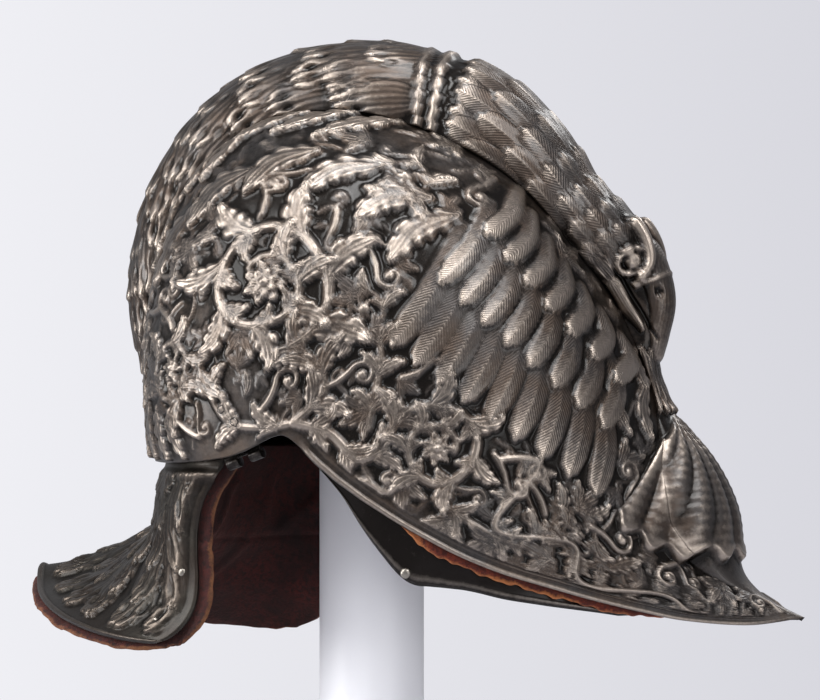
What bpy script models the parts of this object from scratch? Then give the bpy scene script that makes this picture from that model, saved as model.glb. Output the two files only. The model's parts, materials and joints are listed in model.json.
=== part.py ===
"""Embossed steel parade helmet of the burgonet kind, on a plain round display stand.

Metres, +Z up, +X towards the point of the peak. The origin is the centre of the stand's underside.
The helmet is one sheet of steel with its comb and peak raised from it, a nape plate riveted under
the rear rim, a plain brow plate inside the peak, velvet linings and the stumps of the cheek hinges.
Tables hold shares of the helmet's length (x), half width (y) and height (z, from its lowest edge).
"""

import math

import bmesh
import bpy
import numpy as np
from mathutils import Euler, Vector
from mathutils.bvhtree import BVHTree

HELMET_LENGTH = 0.320
HELMET_HEIGHT = 0.241
HALF_WIDTH = 0.088
HELMET_LIFT = 0.070  # lowest edge of the helmet above the surface that the stand rests on

BOWL_INSIDE = (0.0, 0.0, HELMET_LIFT + 0.45 * HELMET_HEIGHT)  # a point that the outside faces away from

STEEL_WALL = 0.0018
PLATE_WALL = 0.0015
VELVET_THICKNESS = 0.0024
SEAT_GAP = 0.0004  # between one piece and the next
LINING_GAP = 0.0018  # between the bowl's smoothed inside and its velvet
MIDDLE_STEP = 0.00004  # least distance between two lines beside the middle plane
CREST_HEIGHT = 0.028  # tallest place of the comb above the bowl
CREST_HALF_WIDTH = 0.024
RIM_BEAD = 0.0016  # how far the turned edge of the bowl stands out
RIM_BEAD_WIDTH = 0.0045
RELIEF_HEIGHT = 0.0042  # of a leaf above the bowl
STEM_RADIUS = 0.0029
LACE_HOLE_RADIUS = 0.0016

NAPE_KEEL = 0.005
NAPE_INSIDE = (0.05, 0.0, -0.2)  # a point that all of the nape plate's outside faces away from
LINING_PROUD_FRONT = 0.0050  # velvet past the front edge of the nape plate
LINING_PROUD_FOOT = 0.0030
LINING_START = 0.125  # share of the way from the rim to the crown where the bowl's velvet starts
PEAK_VELVET_PROUD = 0.0042
PEAK_VELVET_WIDTH = 0.020
FRONT_BEND = 0.40  # how far a strip inside the peak runs forward at the middle, as a share of its half width
BROW_PLATE_WIDTH = 0.018
BROW_PLATE_DROP = 0.024  # how far the brow plate hangs below the peak at the temple

RIVET_RADIUS = 0.0021
RIVET_HEIGHT = 0.0013
KNUCKLE_RADIUS = 0.0025
KNUCKLE_LENGTH = 0.0056
KNUCKLE_SPACING = 0.0110
STRAP_LENGTH = 0.0175
STRAP_HEIGHT = 0.0060
STRAP_THICKNESS = 0.0012
HINGE_DEPTH = 0.916  # from the middle plane, just inside the bowl, as a share of the half width

POST_RADIUS = 0.021
FOOT_RADIUS = 0.085
FOOT_THICKNESS = 0.014
FOOT_EDGE = 0.003
CAP_RADIUS = 0.036
CAP_RIM = 0.004
CAP_DOME_RADIUS = 0.058
CAP_CLEARANCE = 0.0021

REAR_CALM_STEPS = 5.0  # stations over which the relief dies out at the rear rim and at the tip
TIP_CALM_STEPS = 16.0
TIP_SOLID_HALF_WIDTH = 0.013  # the point of the peak is solid where it is narrower than this
CROWN_SECTION = 10
VALLEY_PASSES = 14
BOWL_STATIONS = 210
SIDE_ROWS = 52
CREST_ROWS = 20
INNER_ROWS = 14
BOWL_TRIANGLES = 6300
NAPE_TRIANGLES = 1300

STEEL = ((0.085, 0.070, 0.060), 0.38, 0.9)
GREY_STEEL = ((0.12, 0.125, 0.115), 0.42, 0.9)
BRIGHT_STEEL = ((0.55, 0.55, 0.52), 0.3, 1.0)
VELVET = ((0.16, 0.018, 0.014), 0.95, 0.0)
PAINT = ((0.80, 0.80, 0.82), 0.45, 0.0)

# One row for each section of the bowl, from the rear rim over the crown to the point of the peak:
# where the bowl meets the middle plane, where the section ends on the rim, the height and half
# width of what is raised along the middle (comb, eagle's head, shell) and the section's fullness.
BOWL_COLUMNS = "ridge_x ridge_z rim_x rim_y rim_z crest_h crest_w side_n ridge_n"
BOWL_SECTIONS = (
    (-0.270, 0.304, -0.270, 0.000, 0.304, 0.00, 0.30, 2.0, 2.0),
    (-0.269, 0.340, -0.261, 0.250, 0.304, 0.08, 0.40, 2.0, 2.0),
    (-0.268, 0.404, -0.237, 0.511, 0.304, 0.16, 0.50, 2.1, 2.1),
    (-0.266, 0.475, -0.197, 0.739, 0.304, 0.38, 0.60, 2.1, 2.2),
    (-0.263, 0.550, -0.153, 0.875, 0.308, 0.58, 0.70, 2.2, 2.2),
    (-0.257, 0.625, -0.126, 0.925, 0.312, 0.62, 0.77, 2.2, 2.2),
    (-0.245, 0.696, -0.103, 0.955, 0.317, 0.63, 0.83, 2.2, 2.2),
    (-0.220, 0.765, -0.084, 0.975, 0.325, 0.65, 0.88, 2.2, 2.2),
    (-0.182, 0.826, -0.069, 0.989, 0.333, 0.68, 0.92, 2.2, 2.2),
    (-0.112, 0.880, -0.047, 1.000, 0.348, 0.75, 0.96, 2.2, 2.2),
    (-0.020, 0.896, -0.031, 1.000, 0.354, 0.85, 1.00, 2.2, 2.2),
    (0.071, 0.875, -0.022, 1.000, 0.351, 0.93, 1.02, 2.2, 2.2),
    (0.140, 0.838, -0.014, 1.000, 0.344, 0.95, 1.04, 2.2, 2.2),
    (0.202, 0.788, -0.006, 1.000, 0.335, 0.76, 1.00, 2.2, 2.2),
    (0.246, 0.730, 0.003, 1.000, 0.321, 0.60, 0.92, 2.2, 2.2),
    (0.276, 0.680, 0.014, 1.000, 0.307, 0.66, 0.86, 2.2, 2.1),
    (0.300, 0.634, 0.026, 1.000, 0.294, 0.74, 0.72, 2.2, 2.0),
    (0.319, 0.592, 0.038, 0.999, 0.281, 0.70, 0.52, 2.15, 1.9),
    (0.337, 0.546, 0.052, 0.997, 0.268, 0.58, 0.42, 2.1, 1.8),
    (0.351, 0.502, 0.069, 0.993, 0.252, 0.30, 0.34, 2.0, 1.7),
    (0.364, 0.460, 0.090, 0.986, 0.234, 0.03, 0.34, 1.95, 1.6),
    (0.380, 0.405, 0.114, 0.973, 0.214, 0.00, 0.40, 1.9, 1.5),
    (0.396, 0.350, 0.146, 0.955, 0.190, 0.12, 0.60, 1.8, 1.4),
    (0.410, 0.300, 0.188, 0.912, 0.160, 0.28, 0.86, 1.7, 1.35),
    (0.424, 0.252, 0.2375, 0.830, 0.131, 0.36, 1.00, 1.6, 1.3),
    (0.438, 0.206, 0.286, 0.732, 0.109, 0.36, 1.02, 1.5, 1.25),
    (0.454, 0.162, 0.334, 0.619, 0.0875, 0.24, 0.86, 1.5, 1.2),
    (0.474, 0.124, 0.384, 0.497, 0.068, 0.06, 0.60, 1.5, 1.2),
    (0.498, 0.096, 0.431, 0.369, 0.0525, 0.00, 0.30, 1.5, 1.2),
    (0.526, 0.072, 0.500, 0.159, 0.042, 0.00, 0.12, 1.5, 1.2),
    (0.558, 0.0525, 0.558, 0.000, 0.0525, 0.00, 0.05, 1.5, 1.2),
)

# One row for each level of the nape plate, from inside the bowl down to the flared edge: its middle,
# its front edge, how round the level is and the share of the keel that shows there.
NAPE_COLUMNS = "mid_x mid_z edge_x edge_y edge_z roundness keel"
NAPE_LEVELS = (
    (-0.2490, 0.325, -0.113, 0.868, 0.325, 2.0, 0.0),
    (-0.2500, 0.304, -0.115, 0.872, 0.304, 2.0, 0.0),
    (-0.2520, 0.279, -0.128, 0.876, 0.274, 2.0, 0.1),
    (-0.2540, 0.250, -0.141, 0.869, 0.243, 2.0, 0.2),
    (-0.2555, 0.219, -0.150, 0.852, 0.200, 2.0, 0.4),
    (-0.2690, 0.186, -0.150, 0.858, 0.158, 2.0, 0.7),
    (-0.3060, 0.154, -0.146, 0.886, 0.116, 1.9, 1.0),
    (-0.3400, 0.131, -0.146, 0.920, 0.079, 1.8, 1.0),
    (-0.3780, 0.118, -0.155, 0.960, 0.048, 1.7, 1.0),
    (-0.4130, 0.110, -0.172, 0.983, 0.025, 1.65, 0.95),
    (-0.4400, 0.107, -0.191, 0.989, 0.014, 1.6, 0.85),
)

# Scrolling stems on each side: centre, outer radius, where the stem starts, its turn and direction.
SCROLL_COLUMNS = "x z radius start turn"
SCROLLS = (
    (-0.058, 0.600, 0.094, -62.0, 500.0),
    (-0.176, 0.452, 0.048, 20.0, -470.0),
    (0.178, 0.350, 0.070, 170.0, -480.0),
    (0.318, 0.190, 0.034, 150.0, -430.0),
)
SCROLL_TIGHTEN = 0.66  # share of the radius that a scroll loses on its way in
SCROLL_LEAF_STEP = 52.0  # degrees of turn between two leaves
SCROLL_LEAFY_SHARE = 0.72  # of the turn that carries leaves
SCROLL_LEAF_BEND = 34.0  # degrees that a leaf curls round its scroll
SCROLL_LEAF_OUT = 1.22  # how far outside its stem a leaf lies
SCROLL_LEAF_WIDTH = 0.23  # as a share of the scroll's radius
ROSETTE_SHARE = 0.36  # of its scroll's radius
ROSETTE_PETALS = 6
PETAL_WIDTH = 0.45

# Stems that join the scrolls, as points on the side from the start to the end.
JOINING_STEMS = (
    ((-0.012, 0.375), (0.030, 0.430), (0.010, 0.500), (-0.014, 0.517)),
    ((-0.012, 0.375), (-0.060, 0.372), (-0.105, 0.385), (-0.131, 0.468)),
    ((-0.012, 0.375), (0.050, 0.362), (0.098, 0.318), (0.109, 0.366)),
    ((0.178, 0.232), (0.230, 0.190), (0.272, 0.178), (0.289, 0.213)),
)

# The eagle's wing on each side: rows of feathers, from the root line to the tip line.
WING_COLUMNS = "count root_x0 root_z0 root_x1 root_z1 tip_x0 tip_z0 tip_x1 tip_z1 width height"
WING_ROWS = (
    (6, 0.172, 0.690, 0.322, 0.440, 0.110, 0.500, 0.330, 0.260, 0.0270, 0.70),
    (6, 0.196, 0.730, 0.332, 0.480, 0.160, 0.600, 0.330, 0.370, 0.0250, 1.00),
    (5, 0.216, 0.752, 0.336, 0.512, 0.200, 0.672, 0.336, 0.452, 0.0220, 1.25),
)

# Overlapping leaves down the rear of the comb: section numbers of the first and last root.
COMB_LEAF_ROWS = (12.0, 3.4)
COMB_LEAF_COUNT = 8
COMB_LEAF_REACH = 1.5  # sections that one leaf covers
COMB_LEAF_WIDTH = 0.0150

# How far the brow plate hangs below the rim: section number and share of its drop at the temple.
BROW_PLATE_DROPS = ((14.9, 0.10), (17.3, 0.22), (20.0, 0.74), (21.4, 1.0), (23.0, 0.63), (24.8, 0.50),
                    (26.6, 0.32))

LACE_HOLES = ((-0.108, 0.394), (-0.090, 0.374))
NAPE_RIVETS = ((-0.158, 0.266), (-0.170, 0.128), (-0.201, 0.048))
BROW_RIVETS = ((0.120, 0.1315),)
HINGE_PLACE = (-0.087, 0.325)
HINGE_SLOPE = 19.0  # degrees, nose down to the rear
HINGE_YAW = 15.0  # degrees, the bowl narrows to the rear

CREST_LEAF_ANGLES = (90.0, 34.0)

# Leaves that fall from the comb to the rear rim, as the root and the tip on the side.
REAR_LEAVES = (
    ((-0.262, 0.480), (-0.272, 0.335)),
    ((-0.238, 0.465), (-0.222, 0.331)),
    ((-0.214, 0.450), (-0.172, 0.327)),
    ((-0.190, 0.435), (-0.122, 0.323)),
)
REAR_LEAF_BOW = (-0.008, 0.0)
REAR_LEAF_WIDTH = 0.034
FEATHER_BOW = (0.012, -0.006)
FOOT_LEAF_BOW = (-0.010, 0.014)
FOOT_LEAF_WIDTH = 0.040

# Leaves along the foot of the comb, in the same way.
FOOT_LEAVES = (
    ((0.128, 0.735), (0.048, 0.700)),
    ((0.062, 0.790), (-0.024, 0.752)),
    ((-0.022, 0.812), (-0.104, 0.752)),
    ((-0.104, 0.782), (-0.176, 0.690)),
    ((-0.170, 0.720), (-0.222, 0.600)),
    ((0.120, 0.640), (0.062, 0.560)),
)


def columns(names, rows):
    """A table's columns by name."""
    values = np.array(rows, float).T
    return dict(zip(names.split(), values))


def table_rows(names, rows):
    """A table's rows, each with its cells by name."""
    return [dict(zip(names.split(), row)) for row in rows]


def at_x(share):
    return share * HELMET_LENGTH


def at_z(share):
    return HELMET_LIFT + share * HELMET_HEIGHT


def spline(rows, at):
    """Smooth values of a table's rows at fractional row numbers, on a Catmull-Rom curve."""
    rows = np.asarray(rows, float)
    at = np.clip(np.asarray(at, float), 0.0, len(rows) - 1.0)
    first = np.minimum(at.astype(int), len(rows) - 2)
    t = (at - first)[:, None]
    a = rows[np.maximum(first - 1, 0)]
    b = rows[first]
    c = rows[first + 1]
    d = rows[np.minimum(first + 2, len(rows) - 1)]
    return 0.5 * (2 * b + (c - a) * t + (2 * a - 5 * b + 4 * c - d) * t**2 + (3 * b - 3 * c + d - a) * t**3)


def bowl_rows():
    """The bowl's section table in metres: x, z of the ridge, x, y, z of the rim, crest, fullness."""
    table = columns(BOWL_COLUMNS, BOWL_SECTIONS)
    return np.column_stack((
        at_x(table["ridge_x"]),
        at_z(table["ridge_z"]),
        at_x(table["rim_x"]),
        -HALF_WIDTH * table["rim_y"],
        at_z(table["rim_z"]),
        CREST_HEIGHT * table["crest_h"],
        CREST_HALF_WIDTH * table["crest_w"],
        table["side_n"],
        table["ridge_n"],
    ))


def even_stations(rows, count):
    """Section numbers that step evenly along the mean of the ridge and the rim."""
    fine = np.linspace(0, len(rows) - 1, 40 * len(rows))
    values = spline(rows, fine)
    ridge = np.linalg.norm(np.diff(values[:, 0:2], axis=0), axis=1)
    rim = np.linalg.norm(np.diff(values[:, 2:5], axis=0), axis=1)
    travel = np.concatenate(([0.0], np.cumsum(ridge + rim)))
    return np.interp(np.linspace(0, travel[-1], count), travel, fine)


def ridge_normals(rows, stations):
    """Unit vectors in the middle plane that point out of the ridge."""
    step = 0.05
    before = spline(rows, stations - step)[:, 0:2]
    after = spline(rows, stations + step)[:, 0:2]
    along = after - before
    along /= np.linalg.norm(along, axis=1)[:, None]
    return np.column_stack((-along[:, 1], along[:, 0]))


def side_points(values, share):
    """Points on the bowl for a share of the quarter turn from the rim (0) to the ridge (1)."""
    turn = np.clip(1 - share, 0, 1) * math.pi / 2
    inward = np.cos(turn) ** (2 / values[:, 7])
    outward = np.sin(turn) ** (2 / values[:, 8])
    x = values[:, 2] + (values[:, 0] - values[:, 2]) * inward
    y = values[:, 3] * outward
    z = values[:, 4] + (values[:, 1] - values[:, 4]) * inward
    return np.stack((x, y, z), axis=-1)


def crest_width(values):
    """Half width of the crest, kept inside a section that is narrower than it."""
    return np.minimum(values[:, 6], 0.72 * np.abs(values[:, 3]))


def crest_foot_share(values):
    """Where on the quarter turn the crest meets the bowl."""
    width = np.abs(values[:, 3])
    reach = np.divide(crest_width(values), width, out=np.zeros_like(width), where=width > 1e-6)
    return 1 - np.arcsin(np.clip(reach, 0, 1) ** (values[:, 8] / 2)) / (math.pi / 2)


def crest_points(rows, stations, angle, height=1.0, width=1.0):
    """Points on the raised middle, at an angle of 0 at its foot to 90 degrees on its top line."""
    values = spline(rows, stations)
    foot = side_points(values, crest_foot_share(values))
    normal = ridge_normals(rows, stations)
    rise = np.sin(np.radians(angle))
    lift = values[:, 5] * height
    top_x = values[:, 0] + normal[:, 0] * lift
    top_z = values[:, 1] + normal[:, 1] * lift
    x = foot[:, 0] + (top_x - foot[:, 0]) * rise
    z = foot[:, 2] + (top_z - foot[:, 2]) * rise
    y = foot[:, 1] * np.cos(np.radians(angle)) * width
    return np.stack((x, y, z), axis=-1)


def bowl_grid(rows, stations, side_rows, crest_rows):
    """Right half of the bowl's outside as a grid, from the rim to the top line of the crest."""
    values = spline(rows, stations)
    foot = crest_foot_share(values)
    lines = [side_points(values, foot * (j / side_rows) ** 0.9) for j in range(side_rows)]
    for j in range(crest_rows + 1):
        lines.append(crest_points(rows, stations, 90.0 * j / crest_rows))
    grid = np.stack(lines, axis=1)
    grid[:, -1, 1] = 0.0
    return grid


def inner_grid(rows, stations, count):
    """Right half of the smooth surface that the bowl's inside follows, with a shallow hollow comb."""
    values = spline(rows, stations)
    foot = crest_foot_share(values)
    side_count = count - count // 3
    lines = [side_points(values, foot * j / side_count) for j in range(side_count)]
    for j in range(count - side_count + 1):
        angle = 90.0 * j / (count - side_count)
        lines.append(crest_points(rows, stations, angle, 0.55, 0.92))
    grid = np.stack(lines, axis=1)
    grid[:, -1, 1] = 0.0
    return grid


def grid_normals(grid, middle=BOWL_INSIDE):
    """Unit normals of a right-half grid, pointing away from a point inside."""
    along = np.gradient(grid, axis=0)
    across = np.gradient(grid, axis=1)
    normal = np.cross(along, across)
    outward = grid - np.array(middle)
    length = np.linalg.norm(normal, axis=-1, keepdims=True)
    usable = length[..., 0] > 1e-12
    normal[usable] /= length[usable]
    flip = np.sum(normal * outward, axis=-1) < 0
    normal[flip] *= -1
    fallback = outward / np.linalg.norm(outward, axis=-1, keepdims=True)
    normal[~usable] = fallback[~usable]
    on_plane = np.abs(grid[..., 1]) < 1e-7
    normal[on_plane, 1] = 0.0
    flat = on_plane & (np.linalg.norm(normal, axis=-1) < 1e-3)
    normal[flat] = fallback[flat]
    normal[on_plane] /= np.linalg.norm(normal[on_plane], axis=-1, keepdims=True)
    return normal


def soft_normals(grid, passes):
    """Normals averaged along each line, so that relief in the valley beside the crest rises one way."""
    normal = grid_normals(grid)
    for _ in range(passes):
        normal[:, 1:-1] = 0.25 * normal[:, :-2] + 0.5 * normal[:, 1:-1] + 0.25 * normal[:, 2:]
    return normal / np.linalg.norm(normal, axis=-1, keepdims=True)


def tree_of(grid):
    """A search tree over a grid's faces."""
    count, rows = grid.shape[0], grid.shape[1]
    points = [Vector(p) for p in grid.reshape(-1, 3)]
    faces = []
    for i in range(count - 1):
        for j in range(rows - 1):
            a = i * rows + j
            faces.append((a, a + 1, a + rows + 1, a + rows))
    return BVHTree.FromPolygons(points, faces)


def on_side(tree, points, count):
    """A smooth line through points given on the side view, laid on the surface from the right."""
    flat = [(at_x(x), at_z(z)) for x, z in points]
    curve = spline(flat, np.linspace(0, len(flat) - 1, count))
    found = []
    for x, z in curve:
        hit = tree.ray_cast(Vector((x, -1.0, z)), Vector((0, 1, 0)))
        if hit[0] is not None:
            found.append(tuple(hit[0]))
    return np.array(found)


def arc_points(x, z, radius, first, turn, tighten, count):
    """Points of a scroll on the side view; the radius shrinks towards the middle of the scroll."""
    points = []
    for i in range(count):
        share = i / (count - 1)
        angle = math.radians(first + turn * share)
        reach = radius * (1 - tighten * share)
        points.append((
            x + reach * math.cos(angle),
            z + reach * math.sin(angle) * HELMET_LENGTH / HELMET_HEIGHT,
        ))
    return points


def stem(line, radius):
    return {"line": line, "width": np.full(len(line), radius), "height": radius, "lobes": 0, "climb": 0.0}


def leaf(line, width, height, lobes=0, climb=0.0):
    """A leaf along a line: widest past its middle, pointed at its tip, with lobes on its sides.

    With a climb it lies flat at its root and stands out at its tip, as one of a row of shingles.
    """
    share = np.linspace(0, 1, len(line))
    shape = np.sin(math.pi * np.clip(0.12 + 0.88 * share, 0, 1) ** 1.15) ** 0.8
    width = width * np.maximum(shape, 0.12)
    return {"line": line, "width": width, "height": height, "lobes": lobes, "climb": climb}


def scroll_reliefs(tree):
    found = []
    for scroll in table_rows(SCROLL_COLUMNS, SCROLLS):
        x, z, radius, turn = scroll["x"], scroll["z"], scroll["radius"], scroll["turn"]
        path = arc_points(x, z, radius, scroll["start"], turn, SCROLL_TIGHTEN, 40)
        found.append(stem(on_side(tree, path, 120), STEM_RADIUS))
        side = math.copysign(1.0, turn)
        for i in range(1, int(abs(turn) * SCROLL_LEAFY_SHARE / SCROLL_LEAF_STEP)):
            angle = scroll["start"] + side * i * SCROLL_LEAF_STEP
            reach = radius * (1 - SCROLL_TIGHTEN * i * SCROLL_LEAF_STEP / abs(turn))
            bend = arc_points(x, z, reach * SCROLL_LEAF_OUT, angle, side * SCROLL_LEAF_BEND, -0.16, 6)
            width = SCROLL_LEAF_WIDTH * radius * HELMET_LENGTH
            found.append(leaf(on_side(tree, bend, 14), width, 0.8 * RELIEF_HEIGHT, 3))
        rosette = ROSETTE_SHARE * radius
        for i in range(ROSETTE_PETALS):
            turn_to = math.tau * i / ROSETTE_PETALS
            tip = (x + rosette * math.cos(turn_to),
                   z + rosette * math.sin(turn_to) * HELMET_LENGTH / HELMET_HEIGHT)
            petal = on_side(tree, ((x, z), tip), 5)
            found.append(leaf(petal, PETAL_WIDTH * rosette * HELMET_LENGTH, RELIEF_HEIGHT))
    for points in JOINING_STEMS:
        found.append(stem(on_side(tree, points, 40), 1.15 * STEM_RADIUS))
    return found


def bowed(root, tip, bow):
    """A line from a root to a tip with its middle pushed aside."""
    return root, ((root[0] + tip[0]) / 2 + bow[0], (root[1] + tip[1]) / 2 + bow[1]), tip


def wing_reliefs(tree):
    found = []
    for cells in table_rows(WING_COLUMNS, WING_ROWS):
        count = int(cells["count"])
        for i in range(count):
            share = i / (count - 1)
            root = (cells["root_x0"] + (cells["root_x1"] - cells["root_x0"]) * share,
                    cells["root_z0"] + (cells["root_z1"] - cells["root_z0"]) * share)
            tip = (cells["tip_x0"] + (cells["tip_x1"] - cells["tip_x0"]) * share,
                   cells["tip_z0"] + (cells["tip_z1"] - cells["tip_z0"]) * share)
            line = on_side(tree, bowed(root, tip, FEATHER_BOW), 12)
            height = cells["height"] * RELIEF_HEIGHT
            found.append(leaf(line, cells["width"] * HELMET_LENGTH, height, 0, 0.5))
    return found


def comb_leaf_reliefs(rows):
    found = []
    first, last = COMB_LEAF_ROWS
    for i in range(COMB_LEAF_COUNT):
        root = first + (last - first) * i / (COMB_LEAF_COUNT - 1)
        for step, angle in enumerate(CREST_LEAF_ANGLES):
            start = root - 0.5 * step * (first - last) / (COMB_LEAF_COUNT - 1)
            stations = np.linspace(start, max(start - COMB_LEAF_REACH, 0.4), 12)
            line = crest_points(rows, stations, angle)
            found.append(leaf(line, COMB_LEAF_WIDTH, RELIEF_HEIGHT, 3, 0.9))
    return found


def rear_leaf_reliefs(tree):
    """Leaves that fall from the foot of the comb to the rear rim, and a row along the foot above."""
    found = []
    for root, tip in FOOT_LEAVES:
        line = on_side(tree, bowed(root, tip, FOOT_LEAF_BOW), 12)
        found.append(leaf(line, FOOT_LEAF_WIDTH * HELMET_LENGTH, 0.9 * RELIEF_HEIGHT, 3, 0.5))
    for root, tip in REAR_LEAVES:
        line = on_side(tree, bowed(root, tip, REAR_LEAF_BOW), 12)
        found.append(leaf(line, REAR_LEAF_WIDTH * HELMET_LENGTH, 0.8 * RELIEF_HEIGHT, 3))
    return found


def relief_heights(points, reliefs):
    """How far each point is raised by leaves and stems, the highest one counting."""
    raised = np.zeros(len(points))
    for item in reliefs:
        line = item["line"]
        reach = item["width"].max() * 1.05
        near = np.all((points > line.min(0) - reach) & (points < line.max(0) + reach), axis=1)
        index = np.nonzero(near)[0]
        if not len(index):
            continue
        start, step = line[:-1], np.diff(line, axis=0)
        length2 = np.maximum(np.sum(step**2, axis=1), 1e-16)
        offset = points[index][:, None, :] - start[None]
        along = np.clip(np.sum(offset * step[None], axis=-1) / length2, 0, 1)
        gap = np.linalg.norm(offset - along[..., None] * step[None], axis=-1)
        best = np.argmin(gap, axis=1)
        pick = np.arange(len(index))
        share = (best + along[pick, best]) / len(step)
        width = np.interp(share, np.linspace(0, 1, len(line)), item["width"])
        if item["lobes"]:
            width = width * (1 - 0.3 * ((share * item["lobes"]) % 1.0))
        inside = np.clip(1 - (gap[pick, best] / width) ** 2, 0, 1)
        rise = item["height"] * inside**0.4 * (1 - item["climb"] * (1 - share))
        raised[index] = np.maximum(raised[index], rise)
    return raised


def bowl_relief(rows, grid):
    """The height of all the ornament of the bowl at each point of its grid."""
    tree = tree_of(grid)
    reliefs = scroll_reliefs(tree) + wing_reliefs(tree) + comb_leaf_reliefs(rows) + rear_leaf_reliefs(tree)
    reliefs = [item for item in reliefs if len(item["line"]) > 3]
    raised = relief_heights(grid.reshape(-1, 3), reliefs).reshape(grid.shape[:2])
    from_rim = np.linalg.norm(grid - grid[:, :1], axis=-1)
    calm = np.clip((from_rim - RIM_BEAD_WIDTH) / RIM_BEAD_WIDTH, 0, 1)
    bead = RIM_BEAD * np.sqrt(np.clip(1 - (from_rim / RIM_BEAD_WIDTH) ** 2, 0, 1))
    step = np.arange(len(grid))
    ends = np.clip(np.minimum(step / REAR_CALM_STEPS, (len(grid) - 1 - step) / TIP_CALM_STEPS), 0, 1)
    return (raised * calm + bead) * ends[:, None]


def in_collection(obj, name):
    """Links an object to a collection of that name, made when it is first asked for."""
    found = bpy.data.collections.get(name)
    if found is None:
        found = bpy.data.collections.new(name)
        bpy.context.scene.collection.children.link(found)
    for other in list(obj.users_collection):
        other.objects.unlink(obj)
    found.objects.link(obj)
    return obj


def painted(obj, name, finish):
    """Gives an object its material: a colour, a roughness and a metallic value."""
    material = bpy.data.materials.get(name)
    if material is None:
        colour, roughness, metallic = finish
        material = bpy.data.materials.new(name)
        material.use_nodes = True
        shader = material.node_tree.nodes["Principled BSDF"]
        shader.inputs["Base Color"].default_value = (*colour, 1.0)
        shader.inputs["Roughness"].default_value = roughness
        shader.inputs["Metallic"].default_value = metallic
    obj.data.materials.clear()
    obj.data.materials.append(material)
    return obj


def mesh_object(name, work, smooth=True):
    """A helmet object from a bmesh."""
    mesh = bpy.data.meshes.new(name)
    work.to_mesh(mesh)
    work.free()
    obj = bpy.data.objects.new(name, mesh)
    in_collection(obj, "parade_helmet")
    if smooth:
        mesh.shade_smooth()
    return obj


def add_grid(work, grid, flip=False):
    """Adds a grid of points to a bmesh as quads and returns its vertices by row."""
    verts = [[work.verts.new(p) for p in line] for line in grid]
    for i in range(len(verts) - 1):
        for j in range(len(verts[0]) - 1):
            ring = (verts[i][j], verts[i + 1][j], verts[i + 1][j + 1], verts[i][j + 1])
            work.faces.new(ring[::-1] if flip else ring)
    return verts


def add_mirror(obj):
    mirror = obj.modifiers.new("mirror", "MIRROR")
    mirror.use_axis = (False, True, False)
    mirror.merge_threshold = 0.000003
    return mirror


def add_decimate(obj, faces_now, triangles):
    """Brings a mirrored mesh of quads down to about a number of triangles."""
    thin = obj.modifiers.new("fewer_faces", "DECIMATE")
    thin.ratio = min(1.0, triangles / (4.0 * faces_now))
    thin.use_symmetry = True
    thin.symmetry_axis = "Y"


def shell_object(name, grid, thickness, triangles=None, middle=BOWL_INSIDE):
    """A plate of even thickness: the right half as an open grid, mirrored, then made solid inwards."""
    work = bmesh.new()
    add_grid(work, grid)
    bmesh.ops.remove_doubles(work, verts=work.verts, dist=1e-6)
    bmesh.ops.dissolve_degenerate(work, edges=work.edges, dist=1e-6)
    bmesh.ops.recalc_face_normals(work, faces=work.faces)
    face_outwards(work, Vector(middle))
    faces = len(work.faces)
    obj = mesh_object(name, work)
    add_mirror(obj)
    solid = obj.modifiers.new("thickness", "SOLIDIFY")
    solid.thickness = thickness
    solid.offset = -1.0
    solid.use_even_offset = True
    if triangles:
        add_decimate(obj, 2 * faces, triangles)
    return obj


def face_outwards(work, middle):
    """Turns an open half shell's faces so that they point away from a point inside."""
    score = sum(f.normal.dot(f.calc_center_median() - middle) * f.calc_area() for f in work.faces)
    if score < 0:
        bmesh.ops.reverse_faces(work, faces=work.faces)


def make_bowl(rows):
    """Bowl, comb, eagle's head, shell and peak: one sheet, raised outside, smooth inside."""
    stations = even_stations(rows, BOWL_STATIONS)
    outer = bowl_grid(rows, stations, SIDE_ROWS, CREST_ROWS)
    raised = outer + soft_normals(outer, VALLEY_PASSES) * bowl_relief(rows, outer)[..., None]
    raised[:, -1, 1] = 0.0
    smooth = inner_grid(rows, stations, INNER_ROWS)
    inner = smooth - grid_normals(smooth) * STEEL_WALL
    off_middle = np.arange(inner.shape[1])[::-1] * MIDDLE_STEP
    inner[1:-1, :, 1] = np.minimum(inner[1:-1, :, 1], -off_middle)
    narrow = np.abs(spline(rows, stations)[:, 3]) < TIP_SOLID_HALF_WIDTH
    solid_tip = narrow & (stations > CROWN_SECTION)
    inner[solid_tip] = smooth[solid_tip, :1] * (1, 0, 1)
    inner[0] = inner[0, -1]
    inner[(0, -1), :, 1] = 0.0
    work = bmesh.new()
    outside = add_grid(work, raised)
    inside = add_grid(work, inner, flip=True)
    for i in range(len(outside) - 1):
        work.faces.new((outside[i + 1][0], outside[i][0], inside[i][0], inside[i + 1][0]))
    bmesh.ops.remove_doubles(work, verts=work.verts, dist=2e-6)
    bmesh.ops.dissolve_degenerate(work, edges=work.edges, dist=2e-6)
    faces = len(work.faces)
    obj = mesh_object("bowl", work)
    add_mirror(obj)
    add_decimate(obj, faces, BOWL_TRIANGLES)
    for x, z in LACE_HOLES:
        bpy.ops.mesh.primitive_cylinder_add(vertices=10, radius=LACE_HOLE_RADIUS, depth=3 * HALF_WIDTH,
                                            location=(at_x(x), 0, at_z(z)), rotation=(math.pi / 2, 0, 0))
        cutter = in_collection(bpy.context.object, "cutters")
        cutter.name = "lace_hole_cutter"
        cutter.hide_render = True
        cutter.display_type = "WIRE"
        cut = obj.modifiers.new("lace_hole", "BOOLEAN")
        cut.operation = "DIFFERENCE"
        cut.object = cutter
    painted(obj, "dark_patinated_steel", STEEL)


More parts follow.
